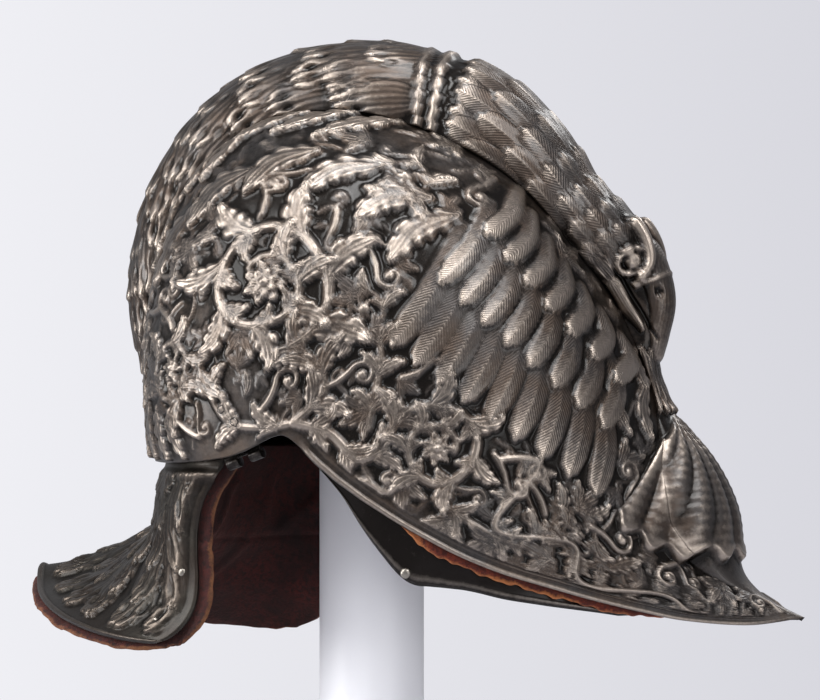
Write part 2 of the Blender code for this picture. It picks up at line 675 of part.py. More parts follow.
def nape_grid(levels, across):
    """Right half of the nape plate's outside, a line for each level from the middle to the front."""
    table = columns(NAPE_COLUMNS, NAPE_LEVELS)
    rows = np.column_stack((
        at_x(table["mid_x"]),
        at_z(table["mid_z"]),
        at_x(table["edge_x"]),
        -HALF_WIDTH * table["edge_y"],
        at_z(table["edge_z"]),
        table["roundness"],
        NAPE_KEEL * table["keel"],
    ))
    values = spline(rows, np.linspace(0, len(rows) - 1, levels))
    lines = []
    for j in range(across + 1):
        turn = math.pi / 2 * j / across
        back = math.cos(turn) ** (2 / values[:, 5]) if j < across else 0.0 * values[:, 5]
        side = math.sin(turn) ** (2 / values[:, 5])
        x = values[:, 2] + (values[:, 0] - values[:, 2]) * back
        y = values[:, 3] * side
        sink = np.abs(side) ** 1.1
        keel = values[:, 6] * np.exp(-((y / (0.13 * HALF_WIDTH)) ** 2))
        z = values[:, 1] + (values[:, 4] - values[:, 1]) * sink + keel * 0.8
        x = x - keel * 0.3
        lines.append(np.stack((x, y, z), axis=-1))
    return np.stack(lines, axis=1)


def extended(grid, axis, distance):
    """A grid with one more line past its last, a distance on along the way it was going."""
    last = np.take(grid, -1, axis=axis)
    step = last - np.take(grid, -3, axis=axis)
    step /= np.maximum(np.linalg.norm(step, axis=-1, keepdims=True), 1e-9)
    step[..., 1][np.abs(last[..., 1]) < 1e-7] = 0.0
    return np.concatenate((grid, np.expand_dims(last + step * distance, axis)), axis=axis)


def nape_relief(grid):
    """Long leaves that fan from the neck to the flared edge."""
    reliefs = []
    levels, across = grid.shape[0], grid.shape[1]
    top = int(levels * 0.30)
    for i in range(5):
        share = i / 4.4
        picks = np.linspace(top - 3 * i, levels - 3, 14).astype(int)
        spread = np.clip((0.25 + 0.75 * np.linspace(0, 1, 14)) * share * (across - 2), 0, across - 2)
        line = np.array([grid[p, int(round(q))] for p, q in zip(picks, spread)])
        reliefs.append(leaf(line, 0.0115, 0.75 * RELIEF_HEIGHT, 4))
    raised = relief_heights(grid.reshape(-1, 3), reliefs).reshape(grid.shape[:2])
    return raised


def make_nape():
    grid = nape_grid(58, 30)
    normal = grid_normals(grid, NAPE_INSIDE)
    relief = nape_relief(grid)
    hidden = np.clip((at_z(0.29) - grid[..., 2]) / 0.004, 0, 1)
    edge = np.clip(np.arange(grid.shape[1])[::-1] / 4.0 - 0.5, 0, 1)[None, :]
    raised = grid + normal * (relief * hidden * edge)[..., None]
    plate = shell_object("nape_plate", raised, PLATE_WALL, NAPE_TRIANGLES, NAPE_INSIDE)
    painted(plate, "grey_steel", GREY_STEEL)
    coarse = nape_grid(13, 7)[3:]
    inward = coarse - grid_normals(coarse, NAPE_INSIDE) * (PLATE_WALL + 3 * SEAT_GAP)
    lining = extended(extended(inward, 1, LINING_PROUD_FRONT), 0, LINING_PROUD_FOOT)
    velvet = shell_object("nape_lining", lining, VELVET_THICKNESS, None, NAPE_INSIDE)
    painted(velvet, "red_velvet", VELVET)
    return tree_of(raised)


def make_bowl_lining(rows):
    stations = np.linspace(3.6, 18.6, 16)
    values = spline(rows, stations)
    lines = []
    for j in range(7):
        share = LINING_START + (1 - LINING_START) * j / 6
        lines.append(side_points(values, np.full(len(values), share)))
    grid = np.stack(lines, axis=1)
    grid[:, -1, 1] = 0.0
    grid = grid - grid_normals(grid) * (STEEL_WALL + LINING_GAP)
    grid[:, -1, 1] = 0.0
    velvet = shell_object("bowl_lining", grid, VELVET_THICKNESS)
    painted(velvet, "red_velvet", VELVET)


def peak_strip(rows, first, last, depth, width, count):
    """A strip inside the peak, from a width up inside it down to its rim, a line for each step."""
    stations = np.linspace(first, last, count)
    values = spline(rows, stations)
    shares = np.linspace(0, 0.6, 25)
    fine = np.stack([side_points(values, np.full(count, share)) for share in shares], axis=1)
    fine = fine - grid_normals(fine) * depth
    steps = np.linalg.norm(np.diff(fine, axis=1), axis=-1)
    travel = np.concatenate((np.zeros((count, 1)), np.cumsum(steps, axis=1)), axis=1)
    lines = []
    for i in range(count):
        reach = min(width, 0.8 * travel[i, -1])
        wanted = np.linspace(reach, 0, 3)
        lines.append(np.stack([np.interp(wanted, travel[i], fine[i, :, k]) for k in range(3)], axis=-1))
    return np.stack(lines, axis=0)


def drop_edge(grid, distances):
    """A strip with one more line straight below the rim, each station by its own distance."""
    more = grid[:, -1] - distances[:, None] * np.array((0.0, 0.0, 1.0))
    return np.concatenate((grid, more[:, None, :]), axis=1)


def make_peak_pieces(rows):
    """The velvet under the peak and the plain brow plate inside it, right half mirrored to the left."""
    count = 14
    strip = peak_strip(rows, 21.0, 28.6, STEEL_WALL + 3 * SEAT_GAP, PEAK_VELVET_WIDTH, count)
    share = np.linspace(0, 1, count)
    proud = PEAK_VELVET_PROUD * np.clip(share / 0.12, 0.15, 1) * np.clip((1 - share) / 0.25, 0.3, 1)
    velvet = half_strip("peak_lining", drop_edge(strip, proud), VELVET_THICKNESS)
    painted(velvet, "red_velvet", VELVET)
    depth = STEEL_WALL + 7 * SEAT_GAP + VELVET_THICKNESS
    first, last = BROW_PLATE_DROPS[0][0], BROW_PLATE_DROPS[-1][0]
    strip = peak_strip(rows, first, last, depth, BROW_PLATE_WIDTH, count + 2)
    sections, shares = zip(*BROW_PLATE_DROPS)
    drop = BROW_PLATE_DROP * np.interp(np.linspace(first, last, count + 2), sections, shares)
    plate = half_strip("brow_plate", drop_edge(strip, drop), PLATE_WALL)
    painted(plate, "dark_patinated_steel", STEEL)
    return tree_of(drop_edge(strip, drop))


def half_strip(name, grid, thickness):
    """A strip that runs round the front: the right half goes on to the middle plane and is mirrored."""
    end = grid[-1]
    bridge = []
    for share in (1 / 3, 2 / 3, 1.0):
        line = end.copy()
        line[:, 0] += np.abs(end[:, 1]) * FRONT_BEND * (1 - (1 - share) ** 2)
        line[:, 1] = end[:, 1] * (1 - share)
        bridge.append(line)
    bridge[-1][:, 1] = 0.0
    return shell_object(name, np.concatenate((grid, np.stack(bridge)), axis=0), thickness)


def make_rivet(name, spot, normal):
    """A low domed rivet head standing on a plate."""
    work = bmesh.new()
    bmesh.ops.create_uvsphere(work, u_segments=8, v_segments=4, radius=RIVET_RADIUS)
    bmesh.ops.bisect_plane(work, geom=work.verts[:] + work.edges[:] + work.faces[:],
                           plane_co=(0, 0, 0), plane_no=(0, 0, 1), clear_inner=True)
    bmesh.ops.holes_fill(work, edges=[e for e in work.edges if e.is_boundary])
    bmesh.ops.scale(work, vec=(1, 1, RIVET_HEIGHT / RIVET_RADIUS), verts=work.verts)
    bmesh.ops.recalc_face_normals(work, faces=work.faces)
    obj = mesh_object(name, work)
    out = Vector(normal).normalized()
    obj.rotation_mode = "QUATERNION"
    obj.rotation_quaternion = out.to_track_quat("Z", "Y")
    obj.location = Vector(spot) + out * 1.9 * SEAT_GAP
    painted(obj, "bright_steel", BRIGHT_STEEL)


def seat_on(tree, x, z, side):
    """A place on the outside of a plate, seen from one side, with the direction out of it."""
    aim = Vector((at_x(x), -1.0, at_z(z)))
    spot, normal, _, _ = tree.ray_cast(aim, Vector((0, 1, 0)))
    if spot is None:
        aim.y = -HALF_WIDTH
        spot, normal, _, _ = tree.find_nearest(aim)
    if normal.y > 0:
        normal = -normal
    spot.y *= -side
    normal.y *= -side
    return spot, normal


def make_rivets(nape_tree, brow_tree):
    for side, label in ((-1, "right"), (1, "left")):
        for number, (x, z) in enumerate(NAPE_RIVETS, start=1):
            make_rivet(f"nape_rivet_{label}_{number}", *seat_on(nape_tree, x, z, side))
        for number, (x, z) in enumerate(BROW_RIVETS, start=1):
            make_rivet(f"brow_rivet_{label}_{number}", *seat_on(brow_tree, x, z, side))


def make_hinge(side, label):
    """The stump of a cheek hinge: a strap behind the rim with two knuckles below it."""
    slope = math.radians(HINGE_SLOPE)
    yaw = math.radians(side * HINGE_YAW)
    turn = Euler((0.0, -slope, yaw)).to_matrix()
    centre = Vector((at_x(HINGE_PLACE[0]), side * HINGE_DEPTH * HALF_WIDTH, at_z(HINGE_PLACE[1])))
    bpy.ops.mesh.primitive_cube_add(size=1, location=centre + turn @ Vector((0, 0, STRAP_HEIGHT * 0.2)),
                                    rotation=(0, -slope, yaw),
                                    scale=(STRAP_LENGTH, STRAP_THICKNESS, STRAP_HEIGHT))
    strap = in_collection(bpy.context.object, "parade_helmet")
    strap.name = f"cheek_hinge_{label}"
    bpy.ops.object.transform_apply(location=False, rotation=False, scale=True)
    for step in (-0.5, 0.5):
        place = Vector((step * KNUCKLE_SPACING, -side * KNUCKLE_RADIUS * 0.5, -STRAP_HEIGHT * 0.45))
        bpy.ops.mesh.primitive_cylinder_add(vertices=10, radius=KNUCKLE_RADIUS, depth=KNUCKLE_LENGTH,
                                            location=centre + turn @ place,
                                            rotation=(0, math.pi / 2 - slope, yaw))
        knuckle = in_collection(bpy.context.object, "cutters")
        knuckle.name = f"hinge_knuckle_{label}"
        knuckle.hide_render = True
        knuckle.display_type = "WIRE"
        join = strap.modifiers.new("knuckle", "BOOLEAN")
        join.operation = "UNION"
        join.object = knuckle
    painted(strap, "grey_steel", GREY_STEEL)


def turned(name, profile, steps, finish):
    """A round solid: a profile at +X from the top down, turned about the stand's axis."""
    mesh = bpy.data.meshes.new(name)
    edges = [(i, i + 1) for i in range(len(profile) - 1)]
    mesh.from_pydata([(r, 0, z) for r, z in profile], edges, [])
    obj = bpy.data.objects.new(name, mesh)
    in_collection(obj, "parade_helmet")
    screw = obj.modifiers.new("turn", "SCREW")
    screw.steps = screw.render_steps = steps
    screw.use_merge_vertices = True
    screw.merge_threshold = 0.00005
    painted(obj, "white_paint", finish)
    return obj


def make_stand(rows):
    """A plain painted foot, a round post and the dome inside the crown that carries the helmet."""
    turned("stand_foot", (
        (0, FOOT_THICKNESS), (FOOT_RADIUS - FOOT_EDGE, FOOT_THICKNESS),
        (FOOT_RADIUS - 0.3 * FOOT_EDGE, FOOT_THICKNESS - 0.3 * FOOT_EDGE),
        (FOOT_RADIUS, FOOT_THICKNESS - FOOT_EDGE), (FOOT_RADIUS, 0), (0, 0),
    ), 32, PAINT)
    fine = spline(rows, np.linspace(8, 13, 200))
    crown = np.interp(0.0, fine[:, 0], fine[:, 1])
    top = crown - STEEL_WALL - LINING_GAP - VELVET_THICKNESS - CAP_CLEARANCE
    edge_turn = math.asin(CAP_RADIUS / CAP_DOME_RADIUS)
    dome = []
    for i in range(6):
        turn = edge_turn * i / 5
        dome.append((CAP_DOME_RADIUS * math.sin(turn), top - CAP_DOME_RADIUS * (1 - math.cos(turn))))
    cap_foot = dome[-1][1] - CAP_RIM
    turned("stand_cap", (*dome, (CAP_RADIUS, cap_foot), (0, cap_foot)), 20, PAINT)
    post_foot = FOOT_THICKNESS + SEAT_GAP
    post_top = cap_foot - SEAT_GAP
    bpy.ops.mesh.primitive_cylinder_add(vertices=28, radius=POST_RADIUS, depth=post_top - post_foot,
                                        location=(0, 0, (post_top + post_foot) / 2))
    post = in_collection(bpy.context.object, "parade_helmet")
    post.name = "stand_post"
    painted(post, "white_paint", PAINT)


def main():
    for obj in list(bpy.data.objects):
        bpy.data.objects.remove(obj)
    rows = bowl_rows()
    make_bowl(rows)
    nape_tree = make_nape()
    make_bowl_lining(rows)
    brow_tree = make_peak_pieces(rows)
    make_rivets(nape_tree, brow_tree)
    make_hinge(-1, "right")
    make_hinge(1, "left")
    make_stand(rows)


main()
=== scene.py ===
import json
import math

import bmesh
import bpy
import numpy as np
from mathutils import Matrix, Vector
from mathutils.bvhtree import BVHTree

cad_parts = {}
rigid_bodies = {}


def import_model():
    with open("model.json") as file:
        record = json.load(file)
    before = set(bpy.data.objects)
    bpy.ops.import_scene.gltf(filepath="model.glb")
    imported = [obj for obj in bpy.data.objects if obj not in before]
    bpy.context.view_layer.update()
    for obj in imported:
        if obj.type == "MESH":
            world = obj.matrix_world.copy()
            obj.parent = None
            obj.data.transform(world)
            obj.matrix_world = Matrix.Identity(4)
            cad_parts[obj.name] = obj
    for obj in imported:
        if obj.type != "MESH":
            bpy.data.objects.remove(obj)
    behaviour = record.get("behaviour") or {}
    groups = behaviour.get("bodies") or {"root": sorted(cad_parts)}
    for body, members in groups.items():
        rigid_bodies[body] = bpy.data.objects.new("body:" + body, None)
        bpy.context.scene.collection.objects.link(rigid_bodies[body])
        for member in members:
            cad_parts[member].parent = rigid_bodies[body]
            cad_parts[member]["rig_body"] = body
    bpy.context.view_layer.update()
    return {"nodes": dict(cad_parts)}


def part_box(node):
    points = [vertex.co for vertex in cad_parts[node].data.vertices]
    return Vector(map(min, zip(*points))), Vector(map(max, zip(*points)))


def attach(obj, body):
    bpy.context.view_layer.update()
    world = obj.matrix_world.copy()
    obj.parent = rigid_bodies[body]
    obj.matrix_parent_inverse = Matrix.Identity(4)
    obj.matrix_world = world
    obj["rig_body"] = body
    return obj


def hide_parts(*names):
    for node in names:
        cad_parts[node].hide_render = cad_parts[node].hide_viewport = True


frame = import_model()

for leftover in list(bpy.data.objects):
    if "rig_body" not in leftover and not leftover.name.startswith("body:"):
        bpy.data.objects.remove(leftover)
print("frame loaded, nodes:", len(frame["nodes"]))

mm = 0.001

# the helmet's own sizes, the same as the solids have
helmet = {
    "length": 320 * mm,
    "height": 241 * mm,
    "halfWidth": 88 * mm,
    "lift": 70 * mm,
    "wall": 1.8 * mm,
    "crestHeight": 28 * mm,
    "crestHalfWidth": 24 * mm,
    "rimBead": 1.1 * mm,
    "rimBeadWidth": 2.6 * mm,
}

# one row for each section, from the rear rim over the crown to the point of the peak, in shares of the sizes above:
# ridge x and z, rim x, y and z, crest height and half width, fullness at the side and at the ridge
bowlSections = np.array((
    (-0.270, 0.304, -0.270, 0.000, 0.304, 0.00, 0.30, 2.0, 2.0),
    (-0.269, 0.340, -0.261, 0.250, 0.304, 0.08, 0.40, 2.0, 2.0),
    (-0.268, 0.404, -0.237, 0.511, 0.304, 0.16, 0.50, 2.1, 2.1),
    (-0.266, 0.475, -0.197, 0.739, 0.304, 0.38, 0.60, 2.1, 2.2),
    (-0.263, 0.550, -0.153, 0.875, 0.308, 0.58, 0.70, 2.2, 2.2),
    (-0.257, 0.625, -0.126, 0.925, 0.312, 0.62, 0.77, 2.2, 2.2),
    (-0.245, 0.696, -0.103, 0.955, 0.317, 0.63, 0.83, 2.2, 2.2),
    (-0.220, 0.765, -0.084, 0.975, 0.325, 0.65, 0.88, 2.2, 2.2),
    (-0.182, 0.826, -0.069, 0.989, 0.333, 0.68, 0.92, 2.2, 2.2),
    (-0.112, 0.880, -0.047, 1.000, 0.348, 0.75, 0.96, 2.2, 2.2),
    (-0.020, 0.896, -0.031, 1.000, 0.354, 0.85, 1.00, 2.2, 2.2),
    (0.071, 0.875, -0.022, 1.000, 0.351, 0.93, 1.02, 2.2, 2.2),
    (0.140, 0.838, -0.014, 1.000, 0.344, 0.95, 1.04, 2.2, 2.2),
    (0.202, 0.788, -0.006, 1.000, 0.335, 0.76, 1.00, 2.2, 2.2),
    (0.246, 0.730, 0.003, 1.000, 0.321, 0.60, 0.92, 2.2, 2.2),
    (0.276, 0.680, 0.014, 1.000, 0.307, 0.66, 0.86, 2.2, 2.1),
    (0.300, 0.634, 0.026, 1.000, 0.294, 0.74, 0.72, 2.2, 2.0),
    (0.319, 0.592, 0.038, 0.999, 0.281, 0.70, 0.52, 2.15, 1.9),
    (0.337, 0.546, 0.052, 0.997, 0.268, 0.58, 0.42, 2.1, 1.8),
    (0.351, 0.502, 0.069, 0.993, 0.252, 0.30, 0.34, 2.0, 1.7),
    (0.364, 0.460, 0.090, 0.986, 0.234, 0.03, 0.34, 1.95, 1.6),
    (0.380, 0.405, 0.114, 0.973, 0.214, 0.00, 0.40, 1.9, 1.5),
    (0.396, 0.350, 0.146, 0.955, 0.190, 0.12, 0.60, 1.8, 1.4),
    (0.410, 0.300, 0.188, 0.912, 0.160, 0.28, 0.86, 1.7, 1.35),
    (0.424, 0.252, 0.2375, 0.830, 0.131, 0.36, 1.00, 1.6, 1.3),
    (0.438, 0.206, 0.286, 0.732, 0.109, 0.36, 1.02, 1.5, 1.25),
    (0.454, 0.162, 0.334, 0.619, 0.0875, 0.24, 0.86, 1.5, 1.2),
    (0.474, 0.124, 0.384, 0.497, 0.068, 0.06, 0.60, 1.5, 1.2),
    (0.498, 0.096, 0.431, 0.369, 0.0525, 0.00, 0.30, 1.5, 1.2),
    (0.526, 0.072, 0.500, 0.159, 0.042, 0.00, 0.12, 1.5, 1.2),
    (0.558, 0.0525, 0.558, 0.000, 0.0525, 0.00, 0.05, 1.5, 1.2),
))

# levels of the nape plate, from inside the bowl down to the flared edge:
# middle x and z, front edge x, y and z, roundness and share of the keel
napeLevels = np.array((
    (-0.2490, 0.325, -0.113, 0.868, 0.325, 2.0, 0.0),
    (-0.2500, 0.304, -0.115, 0.872, 0.304, 2.0, 0.0),
    (-0.2520, 0.279, -0.128, 0.876, 0.274, 2.0, 0.1),
    (-0.2540, 0.250, -0.141, 0.869, 0.243, 2.0, 0.2),
    (-0.2555, 0.219, -0.150, 0.852, 0.200, 2.0, 0.4),
    (-0.2690, 0.186, -0.150, 0.858, 0.158, 2.0, 0.7),
    (-0.3060, 0.154, -0.146, 0.886, 0.116, 1.9, 1.0),
    (-0.3400, 0.131, -0.146, 0.920, 0.079, 1.8, 1.0),
    (-0.3780, 0.118, -0.155, 0.960, 0.048, 1.7, 1.0),
    (-0.4130, 0.110, -0.172, 0.983, 0.025, 1.65, 0.95),
    (-0.4400, 0.107, -0.191, 0.989, 0.014, 1.6, 0.85),
))


# colours and nodes

def hexToLinear(code):
    parts = [int(code[i:i + 2], 16) / 255 for i in (1, 3, 5)]
    return [c / 12.92 if c <= 0.04045 else ((c + 0.055) / 1.055) ** 2.4 for c in parts] + [1.0]


def setInputs(tree, node, inputs):
    # inputs: socket -> a number, a colour or the output of another node
    for key, value in inputs.items():
        if isinstance(value, bpy.types.NodeSocket):
            tree.links.new(value, node.inputs[key])
        else:
            node.inputs[key].default_value = value


def addNode(tree, kind, settings=None, inputs=None):
    node = tree.nodes.new(kind)
    for key, value in (settings or {}).items():
        setattr(node, key, value)
    setInputs(tree, node, inputs or {})
    return node


def newMaterial(name):
    material = bpy.data.materials.new(name)
    material.use_nodes = True
    tree = material.node_tree
    tree.nodes.clear()
    output = tree.nodes.new("ShaderNodeOutputMaterial")
    shader = tree.nodes.new("ShaderNodeBsdfPrincipled")
    tree.links.new(shader.outputs["BSDF"], output.inputs["Surface"])
    return material, tree, shader


def mixColour(tree, factor, first, second):
    return addNode(tree, "ShaderNodeMix", {"data_type": "RGBA"}, {0: factor, 6: first, 7: second}).outputs[2]


def greyRamp(tree, factor, start, end, first=0.0, last=1.0):
    node = addNode(tree, "ShaderNodeValToRGB", {}, {"Fac": factor})
    for element, place, value in zip(node.color_ramp.elements, (start, end), (first, last)):
        element.position = place
        element.color = (value, value, value, 1.0)
    return node.outputs["Color"]


def maths(tree, operation, *terms):
    return addNode(tree, "ShaderNodeMath", {"operation": operation}, dict(enumerate(terms))).outputs[0]


def noise(tree, place, scale, detail, roughness=0.5):
    return addNode(tree, "ShaderNodeTexNoise", {},
                   {"Scale": scale, "Detail": detail, "Roughness": roughness, "Vector": place}).outputs["Fac"]


def mapRange(tree, value, fromRange, toRange, interpolation="LINEAR"):
    return addNode(tree, "ShaderNodeMapRange", {"interpolation_type": interpolation},
                   {"From Min": fromRange[0], "From Max": fromRange[1],
                    "To Min": toRange[0], "To Max": toRange[1], "Value": value}).outputs[0]


def bump(tree, height, strength, distance, under=None):
    # under: the normal of a coarser bump that this one lies on
    inputs = {"Strength": strength, "Distance": distance, "Height": height}
    return addNode(tree, "ShaderNodeBump", {}, {**inputs, "Normal": under} if under else inputs).outputs[0]


def attribute(tree, name):
    return addNode(tree, "ShaderNodeAttribute", {"attribute_name": name}).outputs["Fac"]


def objectPlace(tree):
    return addNode(tree, "ShaderNodeTexCoord").outputs["Object"]


def patinatedSteel(name, ground, raised, grimeAndShade, tint, roughness, wax):
    # embossed steel with an old patina: dark and matt in the hollows, where the dark colour is patina and painted shade
    # together, rubbed brighter where hands and cloths reach
    material, tree, shader = newMaterial(name)
    place = objectPlace(tree)
    wear, veins, depth = (attribute(tree, key) for key in ("wear", "veins", "veinDepth"))
    grain = noise(tree, place, 520.0, 5.0, 0.72)
    pits = addNode(tree, "ShaderNodeTexVoronoi", {}, {"Scale": 640.0, "Vector": place}).outputs["Distance"]
    patches = greyRamp(tree, noise(tree, place, 38.0, 6.0, 0.62), 0.42, 0.60)
    line = maths(tree, "MULTIPLY", maths(tree, "COSINE", maths(tree, "MULTIPLY", veins, math.tau)), depth)
    spotted = maths(tree, "MULTIPLY_ADD", grain, 0.5, -0.25)
    reach = maths(tree, "ADD", wear, maths(tree, "MULTIPLY_ADD", line, 0.12, spotted))
    base = mixColour(tree, patches, hexToLinear(ground), hexToLinear(tint))
    base = mixColour(tree, greyRamp(tree, reach, 0.54, 0.96), base, hexToLinear(raised))
    # the darkest colour is laid where the relief sinks: patina and painted shade in the hollows
    base = mixColour(tree, greyRamp(tree, reach, 0.08, 0.42, 1.0, 0.0), base, hexToLinear(grimeAndShade))
    normal = bump(tree, grain, 0.2, 0.4 * mm)
    normal = bump(tree, pits, 0.12, 0.3 * mm, normal)
    normal = bump(tree, line, 0.8, 0.18 * mm, normal)
    setInputs(tree, shader, {
        "Base Color": base, "Metallic": 1.0, "Normal": normal,
        "Roughness": mapRange(tree, reach, (0.2, 0.9), (roughness + 0.14, roughness - 0.02)),
        "Coat Weight": wax, "Coat Roughness": 0.20,
    })
    return material


def velvet(name, pile, tip, worn):
    # old silk velvet: dark down the pile, a soft sheen at glancing angles, threads worn bare and tan at the edge
    material, tree, shader = newMaterial(name)
    place = objectPlace(tree)
    crush = greyRamp(tree, noise(tree, place, 60.0, 5.0, 0.65), 0.35, 0.68)
    # the pile's tufts are drawn coarser than they are, so that they show
    fibres = noise(tree, place, 420.0, 4.0, 0.8)
    frayed = maths(tree, "ADD", attribute(tree, "wear"), maths(tree, "MULTIPLY_ADD", fibres, 0.9, -0.45))
    base = mixColour(tree, crush, hexToLinear(pile), hexToLinear(tip))
    base = mixColour(tree, greyRamp(tree, fibres, 0.40, 0.56), hexToLinear(pile), base)
    base = mixColour(tree, greyRamp(tree, frayed, 0.45, 0.85), base, hexToLinear(worn))
    setInputs(tree, shader, {
        "Base Color": base, "Roughness": 0.95, "Normal": bump(tree, fibres, 0.6, 1.2 * mm),
        "Sheen Weight": 0.25, "Sheen Roughness": 0.5, "Sheen Tint": hexToLinear("#b0604c"),
    })
    return material


def satinPaint(name, colour):
    # sprayed paint on a turned post: an even satin white with the faintest orange peel
    material, tree, shader = newMaterial(name)
    place = objectPlace(tree)
    shade = [c * 0.96 for c in hexToLinear(colour)[:3]] + [1.0]
    setInputs(tree, shader, {
        "Base Color": mixColour(tree, noise(tree, place, 6.0, 2.0), hexToLinear(colour), shade),
        "Roughness": 0.42, "Normal": bump(tree, noise(tree, place, 260.0, 2.0), 0.04, 0.2 * mm),
    })
    return material


finishes = {
    # the fourth colour of each steel is the dark of its hollows: patina and painted shade
    "bowl": patinatedSteel("patinatedBowlSteel", "#4a4039", "#958a80", "#120e0b", "#464240", 0.40, 0.35),
    "nape": patinatedSteel("patinatedNapeSteel", "#2f2925", "#615850", "#0f0d0b", "#35322e", 0.40, 0.2),
    "brow": patinatedSteel("plainBrowSteel", "#1b1715", "#6d6660", "#0c0a09", "#231f1e", 0.38, 0.25),
    "rivet": patinatedSteel("brightRivetSteel", "#6b665f", "#a09a91", "#24211f", "#5f5a54", 0.34, 0.3),
    "velvet": velvet("darkRedVelvet", "#180504", "#42100b", "#6b4428"),
    "peakVelvet": velvet("orangeRedVelvet", "#3a110a", "#702812", "#a06234"),
    "stand": satinPaint("satinWhitePaint", "#f2f2f6"),
}


# the bowl's form

def splineRows(rows, at):
    # smooth values between a table's rows
    at = np.clip(at, 0.0, len(rows) - 1.0)
    first = np.minimum(at.astype(int), len(rows) - 2)
    t = (at - first)[:, None]
    a, b = rows[np.maximum(first - 1, 0)], rows[first]
    c, d = rows[first + 1], rows[np.minimum(first + 2, len(rows) - 1)]
    return 0.5 * (2 * b + (c - a) * t + (2 * a - 5 * b + 4 * c - d) * t ** 2 + (3 * b - 3 * c + d - a) * t ** 3)


def atX(share):
    return share * helmet["length"]


def atZ(share):
    return helmet["lift"] + share * helmet["height"]


bowlRows = np.column_stack((
    atX(bowlSections[:, 0]), atZ(bowlSections[:, 1]), atX(bowlSections[:, 2]),
    -helmet["halfWidth"] * bowlSections[:, 3], atZ(bowlSections[:, 4]),
    helmet["crestHeight"] * bowlSections[:, 5], helmet["crestHalfWidth"] * bowlSections[:, 6], bowlSections[:, 7:],
))
lastSection = len(bowlRows) - 1


def sidePlace(values, share):
    # a place on the side, from the rim (0) to the ridge (1)
    turn = np.clip(1 - share, 0, 1) * math.pi / 2
    inward = np.cos(turn) ** (2 / values[:, 7])
    outward = np.sin(turn) ** (2 / values[:, 8])
    return np.stack((
        values[:, 2] + (values[:, 0] - values[:, 2]) * inward,
        values[:, 3] * outward,
        values[:, 4] + (values[:, 1] - values[:, 4]) * inward,
    ), axis=-1)


def footShare(values):
    # where on the side the foot of the crest lies
    width = np.abs(values[:, 3])
    reach = np.minimum(values[:, 6], 0.72 * width) / np.maximum(width, 1e-6)
    return 1 - np.arcsin(np.clip(reach, 0, 1) ** (values[:, 8] / 2)) / (math.pi / 2)


def crestPlace(stations, angle, height=1.0, width=1.0):
    # a place on the crest, from its foot (0 degrees) to its top line (90)
    values = splineRows(bowlRows, stations)
    foot = sidePlace(values, footShare(values))
    along = splineRows(bowlRows, stations + 0.05)[:, 0:2] - splineRows(bowlRows, stations - 0.05)[:, 0:2]
    along /= np.linalg.norm(along, axis=1)[:, None]
    rise = np.sin(np.radians(angle))
    lift = values[:, 5] * height
    topX = values[:, 0] - along[:, 1] * lift
    topZ = values[:, 1] + along[:, 0] * lift
    return np.stack((
        foot[:, 0] + (topX - foot[:, 0]) * rise,
        foot[:, 1] * np.cos(np.radians(angle)) * width,
        foot[:, 2] + (topZ - foot[:, 2]) * rise,
    ), axis=-1)


def evenStations(count):
    # sections spread evenly over the way that the ridge and the rim go together
    fine = np.linspace(0, lastSection, 1200)
    step = np.diff(splineRows(bowlRows, fine), axis=0)
    travel = np.linalg.norm(step[:, 0:2], axis=1) + np.linalg.norm(step[:, 2:5], axis=1)
    travel = np.concatenate(([0.0], np.cumsum(travel)))
    return np.interp(np.linspace(0, travel[-1], count), travel, fine)


def evenLines(lines, count, close=0):
    # the same lines with their points spread evenly, or with a few close steps at their start
    steps = np.linalg.norm(np.diff(lines, axis=1), axis=-1)
    travel = np.concatenate((np.zeros((len(lines), 1)), np.cumsum(steps, axis=1)), axis=1)
    spread = np.empty((len(lines), count, 3))
    for i, line in enumerate(lines):
        wanted = np.linspace(0, travel[i, -1], count)
        if close:
            start = min(4.2 * mm, 0.2 * travel[i, -1])
            wanted = np.concatenate((np.linspace(0, start, close, endpoint=False),
                                     np.linspace(start, travel[i, -1], count - close)))
        for k in range(3):
            spread[i, :, k] = np.interp(wanted, travel[i], line[:, k])
    return spread


def gridNormals(grid, inside):
    normal = np.cross(np.gradient(grid, axis=0), np.gradient(grid, axis=1))
    length = np.linalg.norm(normal, axis=-1, keepdims=True)
    away = grid - np.array(inside)
    away /= np.linalg.norm(away, axis=-1, keepdims=True)
    if (normal * away).sum() < 0:
        normal = -normal
    return np.where(length > 1e-12, normal / np.maximum(length, 1e-12), away)


# points from which the outsides of the bowl and of the nape plate face away
bowlInside = (0.0, 0.0, atZ(0.45))
napeInside = (0.05, 0.0, -0.2)
otherSide = np.array((1, -1, 1))


def softNormals(grid, inside, passes):
    # normals averaged along each line, so that relief in a valley rises one way
    normal = gridNormals(grid, inside)
    for _ in range(passes):
        normal[:, 1:-1] = 0.25 * normal[:, :-2] + 0.5 * normal[:, 1:-1] + 0.25 * normal[:, 2:]
    return normal / np.linalg.norm(normal, axis=-1, keepdims=True)


def sideGrid(stations, count, reach=1.0, close=0):
    # right side of the bowl, from the rim up to the foot of the crest and a little under it
    values = splineRows(bowlRows, stations)
    foot = footShare(values) * reach
    lines = np.stack([sidePlace(values, foot * s) for s in np.linspace(0, 1, 90)], axis=1)
    return evenLines(lines, count, close)


def bothHalves(half, axis=1):
    # a half that ends on the middle plane, and its other half
    other = np.take(half, range(half.shape[axis] - 2, -1, -1), axis=axis) * otherSide
    return np.concatenate((half, other), axis=axis)


def crestGrid(stations, count, height=1.0, width=1.0):
    # the whole crest, from its right foot over the top to its left foot
    half = np.stack([crestPlace(stations, angle, height, width) for angle in np.linspace(0, 90, 50)], axis=1)
    half = evenLines(half, count)
    half[:, -1, 1] = 0.0
    return bothHalves(half)


